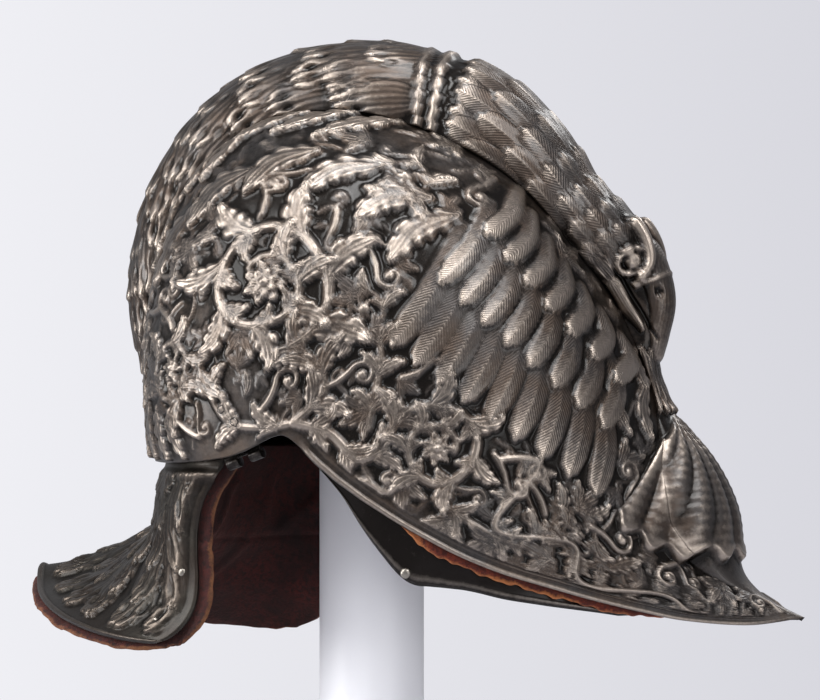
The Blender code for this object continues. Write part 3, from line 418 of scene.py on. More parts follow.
def searchTree(grid):
    rows = grid.shape[1]
    faces = [(i * rows + j, i * rows + j + 1, (i + 1) * rows + j + 1, (i + 1) * rows + j)
             for i in range(grid.shape[0] - 1) for j in range(rows - 1)]
    return BVHTree.FromPolygons([Vector(p) for p in grid.reshape(-1, 3)], faces)


# relief: each motif is a line on the steel with a form beside it

def smoothStep(x):
    x = np.clip(x, 0, 1)
    return x * x * (3 - 2 * x)


leafOutline = ((0, 0.34), (0.2, 0.78), (0.42, 1.0), (0.68, 0.82), (0.88, 0.46), (1, 0.08))
featherOutline = ((0, 0.6), (0.4, 0.96), (0.75, 1.0), (0.92, 0.72), (1, 0.25))
plumeOutline = ((0, 0.60), (0.3, 0.9), (0.6, 1.0), (0.85, 0.84), (1, 0.5))


def outlineAt(along, outline, width):
    return width * np.interp(along, *zip(*outline))


def acanthusRise(along, across, leaf):
    # a cupped leaf whose lobes sweep to the tip, with a raised midrib, an eye sunk between its lobes and long flutes
    q = np.abs(across) / outlineAt(along, leafOutline, leaf["width"])
    swept = along * leaf["lobes"] - 0.55 * np.minimum(q, 1.3)
    lobe = np.abs(np.sin(math.pi * swept))
    reach = 1 - leaf["cut"] * (1 - lobe ** 0.6)
    edge = smoothStep((1 - q / reach) / 0.3)
    rib = np.exp(-(across / (0.12 * leaf["width"])) ** 2)
    eye = np.exp(-(lobe / 0.4) ** 2) * np.exp(-((q - 0.6) / 0.17) ** 2)
    rise = edge * (0.60 + 0.20 * np.minimum(q, 1) + 0.20 * rib + 0.12 * lobe * smoothStep(q * 2) - 0.34 * eye)
    rise = rise * (1 - leaf["climb"] * (1 - along)) + leaf["curl"] * edge * smoothStep((along - 0.7) / 0.3)
    return rise, q * 2.7 - along * 1.2, min(0.65, leaf["width"] / (8 * mm))


def featherRise(along, across, leaf):
    # smooth and round at its tip, with a shaft down its middle; the barbs are engraved
    q = np.abs(across) / outlineAt(along, featherOutline, leaf["width"])
    edge = smoothStep((1 - q) / 0.26)
    shaft = np.exp(-(across / (0.07 * leaf["width"])) ** 2)
    rise = edge * (0.46 + 0.36 * np.sqrt(np.clip(1 - q * q, 0, 1)) + 0.16 * shaft)
    return rise * (1 - leaf["climb"] * (1 - along)), (along * leaf["length"] - 1.2 * np.abs(across)) / (1.5 * mm), 0.28


def plumeRise(along, across, leaf):
    # a broad leaf of the comb: flutes from its root, a ragged lip that turns up, and eyes drilled between its lobes
    q = np.abs(across) / outlineAt(along, plumeOutline, leaf["width"])
    lobe = np.abs(np.cos(math.tau * np.minimum(q, 1)))
    limit = 1 - 0.24 * q ** 2 - leaf["cut"] * (1 - lobe ** 0.7)
    edge = smoothStep((1 - q) / 0.16) * smoothStep((limit - along) / 0.04)
    eye = sum(np.exp(-((along - near) / 0.05) ** 2 - ((q - aside) / 0.12) ** 2)
              for near, aside in ((0.74, 0.26), (0.64, 0.70)))
    flute = (np.cos(math.tau * 2 * q) + 0.35 * np.cos(math.tau * 6 * q)) * smoothStep(along / 0.3)
    lip = leaf["curl"] * smoothStep((along - 0.76) / 0.2)
    rise = edge * (0.78 + 0.08 * (1 - q * q) + 0.05 * flute + lip - 1.1 * eye)
    return rise * (1 - leaf["climb"] * (1 - along)), np.sign(across) * q * 4.0 + along * 0.6, 0.42


def stemRise(along, across, leaf):
    q = np.clip(np.abs(across) / (leaf["width"] * (1 - leaf["cut"] * along)), 0, 1)
    return np.sqrt(1 - q * q), across / (1.1 * mm), 0.2


rises = {"leaf": acanthusRise, "feather": featherRise, "plume": plumeRise, "stem": stemRise}


def motif(form, line, width, height, lobes=0, cut=0.3, climb=0.0, curl=0.0):
    # half width and height in millimetres
    line = np.asarray(line)
    length = np.linalg.norm(np.diff(line, axis=0), axis=1).sum() if len(line) > 1 else 0.0
    return {"form": form, "line": line, "width": width * mm, "height": height * mm, "length": length,
            "lobes": lobes, "cut": cut, "climb": climb, "curl": curl}


def bead(place, radius, height):
    return {"form": "bead", "line": np.asarray([place]), "width": radius * mm, "height": height * mm}


def newRelief(grid):
    shape = grid.shape[:2]
    return {"raised": np.zeros(shape), "veins": np.zeros(shape), "veinDepth": np.zeros(shape)}


def addRelief(relief, grid, normals, motifs):
    # the height of all motifs at each point of a grid; where two overlap, the higher one shows
    points, facing = grid.reshape(-1, 3), normals.reshape(-1, 3)
    raised, veins, depth = (relief[key].reshape(-1) for key in ("raised", "veins", "veinDepth"))
    for item in motifs:
        line = item["line"]
        if item["form"] != "bead" and len(line) < 3:
            continue
        reach = item["width"] * 1.05
        near = np.all((points > line.min(0) - reach) & (points < line.max(0) + reach), axis=1)
        index = np.nonzero(near)[0]
        if not len(index):
            continue
        phase, strength = np.zeros(len(index)), 0.0
        if item["form"] == "bead":
            gap = np.linalg.norm(points[index] - line[0], axis=1) / item["width"]
            rise = np.sqrt(np.clip(1 - gap ** 2, 0, 1))
        else:
            start, step = line[:-1], np.diff(line, axis=0)
            size = np.maximum((step ** 2).sum(1), 1e-16)
            offset = points[index][:, None, :] - start
            t = np.clip((offset * step).sum(-1) / size, 0, 1)
            gap = offset - t[..., None] * step
            distance = np.linalg.norm(gap, axis=-1)
            best = distance.argmin(1)
            pick = np.arange(len(index))
            side = np.sign((np.cross(step[best], gap[pick, best]) * facing[index]).sum(-1))
            along = (best + t[pick, best]) / len(step)
            rise, phase, strength = rises[item["form"]](along, distance[pick, best] * side, item)
        rise = rise * item["height"]
        if item["height"] < 0:
            raised[index] += rise
            continue
        wins = rise > raised[index]
        winners = index[wins]
        raised[winners] = rise[wins]
        veins[winners] = phase[wins]
        depth[winners] = strength * smoothStep(rise[wins] / (0.6 * mm))
    return relief


def boxBlur(field, radius):
    for axis in (0, 1):
        padding = [(0, 0), (0, 0)]
        padding[axis] = (radius + 1, radius)
        total = np.cumsum(np.pad(field, padding, mode="edge"), axis=axis)
        size = field.shape[axis]
        high = np.take(total, np.arange(2 * radius + 1, 2 * radius + 1 + size), axis=axis)
        low = np.take(total, np.arange(size), axis=axis)
        field = (high - low) / (2 * radius + 1)
    return field


def softened(raised):
    # relief beaten from behind has no sharp edges
    return 0.5 * raised + 0.5 * boxBlur(raised, 1)


def wearAndShadeOf(raised, radius, depth):
    # 0.5 on even ground, higher on what stands out, lower in the hollows beside it, where the steel is painted with
    # shade as well as patina
    smaller = raised - boxBlur(boxBlur(raised, radius), radius)
    larger = raised - boxBlur(boxBlur(raised, radius * 4), radius * 4)
    return np.clip(0.5 + 0.45 * (0.7 * smaller + 0.5 * larger) / depth, 0, 1)


# patches: drawing on the side in millimetres, laid on the curved steel

def patchOn(tree, spot, normal):
    spot, normal = Vector(spot), Vector(normal).normalized()
    up = (Vector((0, 0, 1)) - normal * normal.z).normalized()
    return {"tree": tree, "spot": spot, "normal": normal, "up": up, "forward": up.cross(normal)}


def patchAt(tree, x, z):
    spot, normal, _, _ = tree.ray_cast(Vector((x * mm, -1, z * mm)), Vector((0, 1, 0)))
    return patchOn(tree, spot, -normal if normal.y > 0 else normal)


def onPatch(patch, points):
    found = []
    for a, b in points:
        place = patch["spot"] + patch["forward"] * (a * mm) + patch["up"] * (b * mm)
        hit = patch["tree"].ray_cast(place + patch["normal"] * 0.03, -patch["normal"])
        if hit[0] is None:
            hit = patch["tree"].find_nearest(place)
        found.append(tuple(hit[0]))
    return np.array(found)


def onSide(tree, points, count):
    # a smooth line through points of the side view, in millimetres, laid on the steel
    flat = np.array(points, float) * mm
    found = []
    for x, z in splineRows(flat, np.linspace(0, len(flat) - 1, count)):
        hit = tree.ray_cast(Vector((x, -1, z)), Vector((0, 1, 0)))
        if hit[0] is not None:
            found.append(tuple(hit[0]))
    return np.array(found)


def spiral(radius, start, turn, tighten, count):
    # a little uneven, as drawn by hand
    points = []
    for share in np.linspace(0, 1, count):
        angle = math.radians(start + turn * share)
        reach = radius * (1 - tighten * share) * (1 + 0.035 * math.sin(3 * angle + radius))
        points.append((reach * math.cos(angle), reach * math.sin(angle)))
    return points


def walk(place, heading, length, bend, steps=9):
    # a path that sets out one way and turns evenly; angles in degrees
    points = [place]
    for _ in range(steps):
        a, b = points[-1]
        turn = math.radians(heading)
        points.append((a + math.cos(turn) * length / steps, b + math.sin(turn) * length / steps))
        heading += bend / steps
    return points


def sprig(patch, place, heading, size, height, spread=42.0, leaves=3):
    # a fan of leaves from one root
    found = []
    for i in range(leaves):
        aside = (i - (leaves - 1) / 2) * spread
        length = size * (1.0 - 0.16 * abs(aside) / spread)
        path = walk(place, heading + aside * 0.8, length, aside * 0.9)
        found.append(motif("leaf", onPatch(patch, path), 0.29 * length, height * (1 + 0.05 * i), 3, 0.34, 0.3, 0.2))
    return found


def curl(patch, place, heading, size, turn, width):
    # a thin stem that winds up to a berry
    side = math.copysign(1.0, turn)
    points = walk(place, heading, size * 1.1, -side * 35, 8)
    a, b = points[-1]
    toward = math.radians(heading - side * 35 + side * 90)
    centre = (a + 0.42 * size * math.cos(toward), b + 0.42 * size * math.sin(toward))
    ring = spiral(0.42 * size, math.degrees(toward) + 180, turn, 0.8, 22)
    points += [(centre[0] + x, centre[1] + y) for x, y in ring]
    return [motif("stem", onPatch(patch, points), width, width * 1.2, cut=0.45),
            bead(onPatch(patch, (centre,))[0], width * 1.15, width * 1.5)]


def rosette(patch, a, b, size, height, petals):
    # two rings of petals round a seeded centre
    found = []
    for ring, (share, lift) in enumerate(((1.0, 0.75), (0.62, 1.0))):
        for i in range(petals):
            angle = math.tau * (i + 0.5 * ring) / petals
            tip = (a + size * share * math.cos(angle), b + size * share * math.sin(angle))
            line = onPatch(patch, ((a, b), ((a + tip[0]) / 2, (b + tip[1]) / 2), tip))
            found.append(motif("leaf", line, 0.42 * size * share, height * lift, 1, 0.2, 0.35, 0.2))
    found.append(bead(onPatch(patch, ((a, b),))[0], 0.24 * size, 1.15 * height))
    return found


def scrollWork(tree, x, z, radius, start, turn, tighten, stem, leaf, leaves, height, petals):
    # a stem that winds in to a rosette, with acanthus leaves thrown off on both sides of it
    patch = patchAt(tree, x, z)
    side, points = math.copysign(1.0, turn), 120
    winding = onPatch(patch, spiral(radius, start, turn, tighten, points))
    found = [motif("stem", winding, stem, stem * 0.72, cut=0.3)]
    for i in range(leaves):
        share = (i + 0.3) / leaves * 0.9
        sheath = winding[int((points - 1) * share):int((points - 1) * (share + 0.72 / leaves))]
        angle = start + turn * share
        reach = radius * (1 - tighten * share)
        place = (reach * math.cos(math.radians(angle)), reach * math.sin(math.radians(angle)))
        heading = angle + side * 90
        size = leaf * (1 - 0.42 * share)
        outer = onPatch(patch, walk(place, heading - side * 14, size, -side * 78))
        inner = onPatch(patch, walk(place, heading + side * 22, size * 0.62, side * 96))
        found += [motif("leaf", sheath, 1.55 * stem, stem * 0.9, 3, 0.30, 0.35, 0.25),
                  motif("leaf", outer, 0.31 * size, height, 4, 0.34, 0.3, 0.25),
                  motif("leaf", inner, 0.2 * size, height * 0.8, 3, 0.32, 0.3, 0.2)]
    return found + rosette(patch, 0, 0, radius * (1 - tighten) * 0.95, height * 1.15, petals)


def stemWithLeaves(tree, points, width, size, height, count):
    # a joining stem with pairs of leaves
    steps = 40
    found = [motif("stem", onSide(tree, points, steps), width, width * 0.75, cut=0.2)]
    flat = splineRows(np.array(points, float), np.linspace(0, len(points) - 1, steps))
    for i in range(count):
        k = int((i + 0.5) / count * (steps - 2))
        heading = math.degrees(math.atan2(flat[k + 1, 1] - flat[k, 1], flat[k + 1, 0] - flat[k, 0]))
        patch = patchAt(tree, *flat[k])
        for side in (1, -1):
            path = walk((0, 0), heading + side * 18, size, side * 70)
            found.append(motif("leaf", onPatch(patch, path), 0.28 * size, height, 4, 0.34, 0.3, 0.2))
    return found


# scrolls: place in the side view, radius, first angle, turn, how far it tightens, half width of the stem,
# size, number and height of its leaves, petals of its rosette; millimetres and degrees
sideScrolls = (
    (-18.5, 214, 28, -62, 560, 0.66, 2.9, 28, 10, 3.4, 7),
    (-58, 181, 15, 20, -500, 0.64, 2.1, 18, 7, 2.7, 6),
    (52, 150, 19, 170, -540, 0.64, 2.5, 18, 9, 3.0, 7),
    (101, 116, 11, 150, -460, 0.62, 1.5, 14, 6, 2.2, 6),
    (30, 256, 11, -120, 460, 0.62, 1.5, 15, 6, 2.6, 6),
    (-62, 228, 11, -30, 460, 0.62, 1.5, 15, 6, 2.6, 6),
    (22, 204, 10, 200, 460, 0.62, 1.5, 14, 6, 2.4, 6),
)

# joining stems: points, half width, leaf size, leaf height, number of leaf pairs
joiningStems = (
    (((-4, 160), (8, 172), (4, 184), (-5, 189)), 2.4, 19, 3.0, 3),
    (((-4, 160), (-19, 158), (-34, 162), (-45, 183)), 2.0, 15, 2.7, 3),
    (((-4, 160), (10, 156), (22, 146), (33, 150)), 2.6, 15, 2.8, 3),
    (((52, 131), (66, 121), (82, 113), (91, 121)), 2.0, 12, 2.3, 3),
    (((-32, 240), (-44, 238), (-52, 230), (-53, 223)), 1.6, 13, 2.4, 2),
    (((8, 228), (18, 234), (24, 242), (25, 249)), 1.9, 14, 2.6, 2),
    (((26, 158), (28, 172), (30, 184), (28, 196)), 2.0, 13, 2.6, 3),
)


def groundPatches(tree, grid, normals, relief, allowed, spacing, count, seed):
    # places where the ground is still bare, well apart from each other
    rng = np.random.default_rng(seed)
    covered = boxBlur((relief["raised"] > 0.25 * mm).astype(float), int(spacing / mm / 3))
    free = np.argwhere((covered < 0.16) & allowed)
    rng.shuffle(free)
    placed = np.zeros((0, 3))
    found = []
    for i, j in free:
        spot = grid[i, j]
        if len(placed) and np.linalg.norm(placed - spot, axis=1).min() < spacing:
            continue
        placed = np.vstack((placed, spot))
        found.append(patchOn(tree, spot, normals[i, j]))
        if len(found) == count:
            break
    return found, rng


# what fills the ground, first large and then small: size, spacing, count, height, seed
groundRounds = ((15.0, 12.5 * mm, 40, 1.8, 11), (10.0, 9.5 * mm, 60, 1.3, 12), (6.5, 7.5 * mm, 50, 0.9, 13))


def fillGround(tree, grid, normals, relief, allowed):
    # curls, sprigs and leaves, until little of the ground is bare
    for size, spacing, count, height, seed in groundRounds:
        patches, rng = groundPatches(tree, grid, normals, relief, allowed, spacing, count, seed)
        found = []
        for patch in patches:
            heading, kind = rng.uniform(0, 360), rng.random()
            start = walk((0, 0), heading + 180, size * 0.5, 0, 2)[-1]
            if kind < 0.45:
                found += sprig(patch, start, heading, size, height)
            elif kind < 0.85:
                found += curl(patch, start, heading, size * 0.8, rng.choice((-1, 1)) * 420, 0.10 * size)
            else:
                path = walk(start, heading, size, rng.uniform(-80, 80))
                found.append(motif("leaf", onPatch(patch, path), 0.3 * size, height, 5, 0.36, 0.3, 0.3))
        addRelief(relief, grid, normals, found)


# rows of wing feathers: count, root line and tip line in the side view, half width, height
wingRows = (
    (9, (55, 236), (103, 176), (34, 190), (106, 132), 6.6, 3.0),
    (8, (62, 245), (106, 186), (50, 214), (106, 158), 6.2, 4.0),
    (7, (69, 251), (108, 193), (63, 232), (108, 176), 5.8, 4.8),
)


def wing(tree):
    found = []
    for count, *ends, width, height in wingRows:
        rootA, rootB, tipA, tipB = (np.array(end, float) for end in ends)
        for share in np.arange(count) / (count - 1):
            root, tip = rootA + (rootB - rootA) * share, tipA + (tipB - tipA) * share
            belly = (root + tip) / 2 + (3.5, -1.5)
            found.append(motif("feather", onSide(tree, (root, belly, tip), 14), width, 0.86 * height, 0, 0, 0.6))
    return found


# leaves that creep down from the foot of the comb, and a fall of leaves at the rear and by the bill:
# root and tip in the side view
creepingLeaves = (
    ((41, 247), (15, 239)), ((20, 260), (-8, 249)), ((-7, 266), (-33, 249)), ((-33, 258), (-56, 236)),
    ((-54, 243), (-71, 213)), ((-70, 220), (-80, 188)), ((-78, 196), (-84, 163)), ((52, 240), (30, 222)),
)
fallingLeaves = (
    ((-84, 196), (-87, 168)), ((-76, 192), (-75, 165)), ((-87, 172), (-87, 142)), ((-80, 170), (-79, 142)),
    ((-73, 168), (-69, 142)), ((-67, 165), (-60, 142)), ((-60, 162), (-50, 143)),
    ((112, 198), (117, 172)), ((108, 180), (115, 154)), ((117, 178), (121, 152)),
)


def bentLeaves(tree, ends, bend, *sizes):
    found = []
    for root, tip in ends:
        middle = ((root[0] + tip[0]) / 2 + bend[0], (root[1] + tip[1]) / 2 + bend[1])
        found.append(motif("leaf", onSide(tree, (root, middle, tip), 16), *sizes))
    return found


# leaves that cross the foot of the comb: first section, spacing and length in sections
crossing = {"count": 15, "first": 10.9, "spacing": 0.66, "length": 1.05}


def footLeaves(tree):
    found = bentLeaves(tree, creepingLeaves, (-3, 4), 8.6, 3.0, 5, 0.34, 0.4, 0.2)
    for i in range(crossing["count"]):
        along = np.linspace(0, crossing["length"], 16)
        values = splineRows(bowlRows, crossing["first"] - crossing["spacing"] * i - along)
        line = sidePlace(values, footShare(values) * np.linspace(1.0, 0.80 + 0.05 * (i % 3), 16))
        found.append(motif("leaf", line, 6.4, 3.4, 4, 0.34, 0.15, 0.2))
    return found + bentLeaves(tree, fallingLeaves, (-2, 0), 5.2, 2.6, 4, 0.34, 0.35, 0.2)


vine = {"first": 20.7, "last": 29.3, "share": 0.36, "swing": 0.11, "pace": 2.3, "points": 150, "between": 9}


def peakVine(tree):
    # a wavy stem along the peak with a sprig in each bend
    stations = np.linspace(vine["first"], vine["last"], vine["points"])
    values = splineRows(bowlRows, stations)
    share = footShare(values) * (vine["share"] + vine["swing"] * np.sin((stations - vine["first"]) * vine["pace"]))
    line = sidePlace(values, share)
    width = np.interp(stations, (vine["first"], vine["last"]), (1.5, 0.8))
    found = [motif("stem", line, 1.7, 1.9, cut=0.5)]
    for k in range(5, vine["points"] - 5, vine["between"]):
        along = line[k + 1] - line[k]
        normal = np.cross(along, sidePlace(values[k:k + 1], share[k:k + 1] + 0.02)[0] - line[k])
        patch = patchOn(tree, line[k], -normal if normal[1] > 0 else normal)
        heading = math.degrees(math.atan2(np.dot(along, patch["up"]), np.dot(along, patch["forward"])))
        side = 1 if (k // vine["between"]) % 2 else -1
        found += sprig(patch, (0, 0), heading + side * 55, 7.0 * width[k], 1.9 * width[k] / 1.7 + 0.5)
    return found


def sideMotifs(tree):
    found = []
    for scroll in sideScrolls:
        found += scrollWork(tree, *scroll)
    for stem in joiningStems:
        found += stemWithLeaves(tree, *stem)
    return found + wing(tree) + footLeaves(tree) + peakVine(tree)


# rows of leaves on the comb: angle over the crest, and how far along each row begins, in shares of the spacing
combRows = ((90.0, 0.0), (72.0, 0.45), (47.0, 0.85), (22.0, 0.3))
comb = {"first": 11.0, "last": 0.7, "spacing": 24, "jitter": 5, "leaves": 12}

# the two rolls of the collar: section, half width and height
collarRolls = ((11.2, 1.6, 2.6), (11.46, 1.8, 3.2))

neck = {"first": 16.35, "step": 0.60, "rows": 8, "across": 9, "end": 11.75}

# the eagle's head in the order in which its forms are laid: form, path of sections and angles, half width, height,
# lobes, cut, climb, curl
throatForms = (
    ("leaf", ((19.3, 8), (20.2, 24), (21.3, 18)), 4.6, 2.2, 3, 0.34, 0.2, 0.2),
    ("leaf", ((19.5, 50), (20.4, 66), (21.4, 56)), 4.2, 2.4, 3, 0.34, 0.2, 0.2),
)
headForms = (
    ("stem", ((15.7, 72), (16.3, 68), (16.9, 58), (17.2, 40)), 2.9, 5.2),
    ("stem", ((17.35, 89), (17.35, 60), (17.3, 30)), 1.7, 3.9),
    ("stem", ((17.0, 8), (17.8, 10), (18.6, 22)), 4.6, 2.6, 0, 0.7),
    ("leaf", ((15.6, 14), (16.2, 10), (17.1, 12)), 4.4, 2.6, 3, 0.34, 0.3, 0.2),
    ("leaf", ((15.7, 34), (16.1, 24), (16.9, 24)), 3.6, 2.4, 3, 0.34, 0.3, 0.2),
    ("stem", ((16.9, 20), (17.8, 24), (18.6, 38), (19.1, 58)), 1.0, -1.1),
)


def onCrest(points, count=14):
    at = splineRows(np.array(points, float), np.linspace(0, len(points) - 1, count))
    return crestPlace(at[:, 0], at[:, 1])


def bothSides(form, path, *sizes):
    line = onCrest(path, 24)
    return [motif(form, line * (1, mirror, 1), *sizes) for mirror in (1, -1)]


def combLeaves():
    # broad leaves that overlap down the comb; those beside its top line sweep down and back
    found = []
    rng = np.random.default_rng(7)
    back = np.linspace(comb["first"], comb["last"], 300)
    travel = np.concatenate(((0.0,), np.cumsum(np.linalg.norm(np.diff(crestPlace(back, 90.0), axis=0), axis=1))))
    for angle, begins in combRows:
        onTop = angle == 90.0
        for i in range(-1, comb["leaves"]):
            begin = (i + begins) * comb["spacing"] * mm + rng.uniform(-comb["jitter"], comb["jitter"]) * mm
            root, tip = np.interp((begin, begin + rng.uniform(38, 50) * mm), travel, back)
            if root - tip < 0.5:
                continue
            sway = rng.uniform(-9, 9) if onTop else -rng.uniform(14, 26)
            width, height = rng.uniform(9.5, 12.0), rng.uniform(3.2, 3.8)
            line = onCrest(((root, angle), ((root + tip) / 2, angle + sway * 0.35), (tip, max(angle + sway, 1.0))))
            for mirror in (1,) if onTop else (1, -1):
                found.append(motif("plume", line * (1, mirror, 1), width, height, 0, 0.12, 0.84, 0.16))
    return found


def neckFeathers():
    found = []
    for row in range(neck["rows"]):
        grow = row / (neck["rows"] - 1)
        root = neck["first"] - neck["step"] * row
        for i in range(neck["across"]):
            angle = 90 + (i - neck["across"] // 2 + 0.5 * (row % 2)) * (20 + 7 * grow)
            if 2 < angle < 178:
                tip = max(root - 0.9 - 0.5 * grow, neck["end"] - 0.3 * math.sin(math.radians(angle)))
                line = onCrest(((root, angle), ((root + tip) / 2, angle), (tip, angle)), 8)
                found.append(motif("feather", line, 4.6 + 3.2 * grow, 2.9, 0, 0, 0.72))
    return found


def crestMotifs():
    # what is beaten softly, and then the head, which is crisper
    over = np.linspace(0, 180, 60)
    soft = combLeaves()
    for section, width, height in collarRolls:
        soft.append(motif("stem", crestPlace(section - 0.34 * np.sin(np.radians(over)), over), width, height, cut=0))
    soft += neckFeathers()
    for form in throatForms:
        soft += bothSides(*form)
    soft.append(motif("leaf", onCrest(((19.7, 90), (20.6, 90), (21.5, 90))), 4.4, 2.6, 3, 0.34, 0.2, 0.2))
    head = [motif("stem", onCrest(((17.1, 90), (18.3, 90), (19.6, 90)), 30), 13, 3.4, cut=0.62)]
    for form in headForms:
        head += bothSides(*form)
    around = np.linspace(0, math.tau, 40)
    for mirror in (1, -1):
        eye, nostril = crestPlace(np.array((16.62, 17.75)), np.array((42.0, 58.0))) * (1, mirror, 1)
        ring = crestPlace(16.62 + 0.36 * np.cos(around), 42 + 19 * np.sin(around)) * (1, mirror, 1)
        head += [bead(eye, 3.6, 3.9), motif("stem", ring, 1.5, 2.9, cut=0),
                 bead(eye, 1.7, -1.1), bead(nostril, 1.7, -1.6)]
    return soft, head


# the scallop: places in shares, spread in degrees, number of ribs, heights and reaches in millimetres
shell = {"hinge": (0.386, 0.392), "foot": (0.466, 0.140), "spread": 54, "ribs": 31, "height": 1.0, "ribHeight": 1.3,
         "rings": 0.10, "ringSpacing": 3.6, "border": 0.6, "fill": 3.0, "fillReach": 5.5}


def shellRise(grid, feet):
    # ribs that spread from a hinge, with a rolled edge; the valley at the foot of the crest is filled up under them
    hinge = np.array((atX(shell["hinge"][0]), 0, atZ(shell["hinge"][1])))
    axis = np.array((atX(shell["foot"][0]), 0, atZ(shell["foot"][1]))) - hinge
    length = np.linalg.norm(axis)
    axis /= length
    a, b = ((grid - hinge) * axis).sum(-1), grid[..., 1]
    angle, reach = np.arctan2(b, np.maximum(a, 1e-6)), np.hypot(a, b)
    wave = np.cos(angle * shell["ribs"])
    limit = length * (0.84 + 0.16 * np.cos(angle * 1.5)) * (1 + 0.03 * wave)
    beside = (math.radians(shell["spread"]) - np.abs(angle)) * reach
    inside = smoothStep((limit - reach) / (3.0 * mm)) * smoothStep(beside / (3.0 * mm))
    inside = inside * smoothStep(a / (4 * mm)) * (grid[..., 0] > atX(0.34))
    ribs = (0.5 + 0.5 * wave) ** 0.6 * smoothStep(reach / (0.35 * length))
    border = np.exp(-((limit - reach - 3.2 * mm) / (1.5 * mm)) ** 2)
    rings = shell["rings"] * np.cos(reach / (shell["ringSpacing"] * mm) * math.tau)
    fill = shell["fill"] * np.exp(-np.linalg.norm(grid - feet, axis=-1) / (shell["fillReach"] * mm))
    fill = fill * smoothStep(reach / (0.3 * length))
    return inside * (shell["height"] + shell["ribHeight"] * ribs + shell["border"] * border + rings + fill) * mm


def shellWay(grid):
    # the way in which the shell stands out, the same for the side and the crest
    middle = np.array((atX(0.30), 0, atZ(0.10)))
    away = grid - middle
    return away / np.linalg.norm(away, axis=-1, keepdims=True)


# meshes

def newObject(name, data):
    made = bpy.data.objects.new(name, data)
    bpy.context.scene.collection.objects.link(made)
    return made


def meshOf(work, name, smooth=True):
    mesh = bpy.data.meshes.new(name)
    work.to_mesh(mesh)
    work.free()
    if smooth:
        mesh.shade_smooth()
    return mesh


def evenLook(mesh, wear):
    values = np.full(len(mesh.vertices), wear, np.float32)
    mesh.attributes.new("wear", "FLOAT", "POINT").data.foreach_set("value", values)


def gridMesh(name, sheets, looks):
    # sheets of points as one mesh, with wear and engraving written to its points
    n, m = sheets[0].shape[:2]
    work = bmesh.new()
    for level in range(len(sheets)):
        for v in bmesh.ops.create_grid(work, x_segments=n - 1, y_segments=m - 1, size=0.5)["verts"]:
            v.co.z = level
    mesh = meshOf(work, name)
    flat = np.empty(len(mesh.vertices) * 3)
    mesh.vertices.foreach_get("co", flat)
    x, y, level = flat.reshape(-1, 3).T
    i = np.rint((x + 0.5) * (n - 1)).astype(int)
    j = np.rint((y + 0.5) * (m - 1)).astype(int)
    mesh.vertices.foreach_set("co", np.stack(sheets)[np.rint(level).astype(int), i, j].ravel())
    for key, values in looks.items():
        mesh.attributes.new(key, "FLOAT", "POINT").data.foreach_set("value", values[i, j].astype(np.float32))
    return mesh


def closedPiece(name, sheets, looks):
    # one sheet closes on itself; two sheets meet at their borders
    grid = gridMesh(name + "Grid", sheets, looks)
    work = bmesh.new()
    work.from_mesh(grid)
    bpy.data.meshes.remove(grid)
    bmesh.ops.remove_doubles(work, verts=work.verts, dist=2e-6)
    if len(sheets) == 1:
        bmesh.ops.dissolve_degenerate(work, edges=work.edges, dist=1e-7)
    else:
        bmesh.ops.recalc_face_normals(work, faces=work.faces)
    if work.calc_volume(signed=True) < 0:
        bmesh.ops.reverse_faces(work, faces=work.faces)
    return newObject(name, meshOf(work, name))


def wrappedSheet(name, outer, looks, back):
    # outer and back are lines of points; together they close on themselves, and their ends close in points
    rings = np.concatenate((outer, back, outer[:, :1]), axis=1)
    wide = {}
    for key, values in looks.items():
        # the back, inside the steel, is given little wear, so it takes the hollows' dark colour: painted shade as well
        # as patina
        wide[key] = np.full(rings.shape[:2], 0.12 if key == "wear" else 0.0)
        wide[key][:, :outer.shape[1]] = values
        wide[key][:, -1] = values[:, 0]
    return closedPiece(name, [rings], wide)


def fromBorder(grid, top=True):
    # steps from each point of a grid to its nearest border, with the first line as a border or not
    n, m = grid.shape[:2]
    i, j = np.meshgrid(np.arange(n), np.arange(m), indexing="ij")
    steps = np.minimum(n - 1 - i, np.minimum(j, m - 1 - j))
    return np.minimum(steps, i) if top else steps


def thinPlate(name, grid, inside, thickness, looks, roundSteps=3, raised=None):
    # a plate or cloth of even thickness whose edges are rounded over
    normals = gridNormals(grid, inside)
    steps = fromBorder(grid)
    swell = thickness * 0.5 * np.sqrt(np.clip(1 - (1 - np.clip(steps / roundSteps, 0, 1)) ** 2, 0, 1))
    outer = grid + normals * (swell + (0 if raised is None else raised))[..., None]
    inner = grid - normals * swell[..., None]
    inner[steps == 0] = outer[steps == 0]
    return closedPiece(name, [outer, inner], looks)


def dress(piece, finish, slot, *nodes):
    # finish, material slot (not used) and the solids that a piece stands for
    piece.data.materials.clear()
    piece.data.materials.append(finishes[finish])
    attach(piece, "root")
    if nodes:
        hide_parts(*nodes)


def mirrored(piece, name):
    mesh = piece.data.copy()
    flat = np.empty(len(mesh.vertices) * 3)
    mesh.vertices.foreach_get("co", flat)
    flat[1::3] *= -1
    mesh.vertices.foreach_set("co", flat)
    mesh.flip_normals()
    return newObject(name, mesh)


# numbers of lines and rows; how far the sides go under the crest; lines over which the relief fades at the ends
bowlDetail = {"stations": 470, "sideRows": 176, "crestRows": 74, "backRows": 12, "underCrest": 1.012,
              "fadeRear": 8.0, "fadeTip": 22.0}

# the turned edge of the peak: sections over which it begins, height, place and width of the line beside it, and
# the plain bands along the rear rim and along the turned edge
edging = {"first": 12.6, "over": 2.0, "line": 0.45 * mm, "lineAt": 5.2 * mm, "lineWidth": 0.5 * mm,
          "rearBand": 0.6, "frontBand": 5.2, "bandFade": 1.6 * mm}


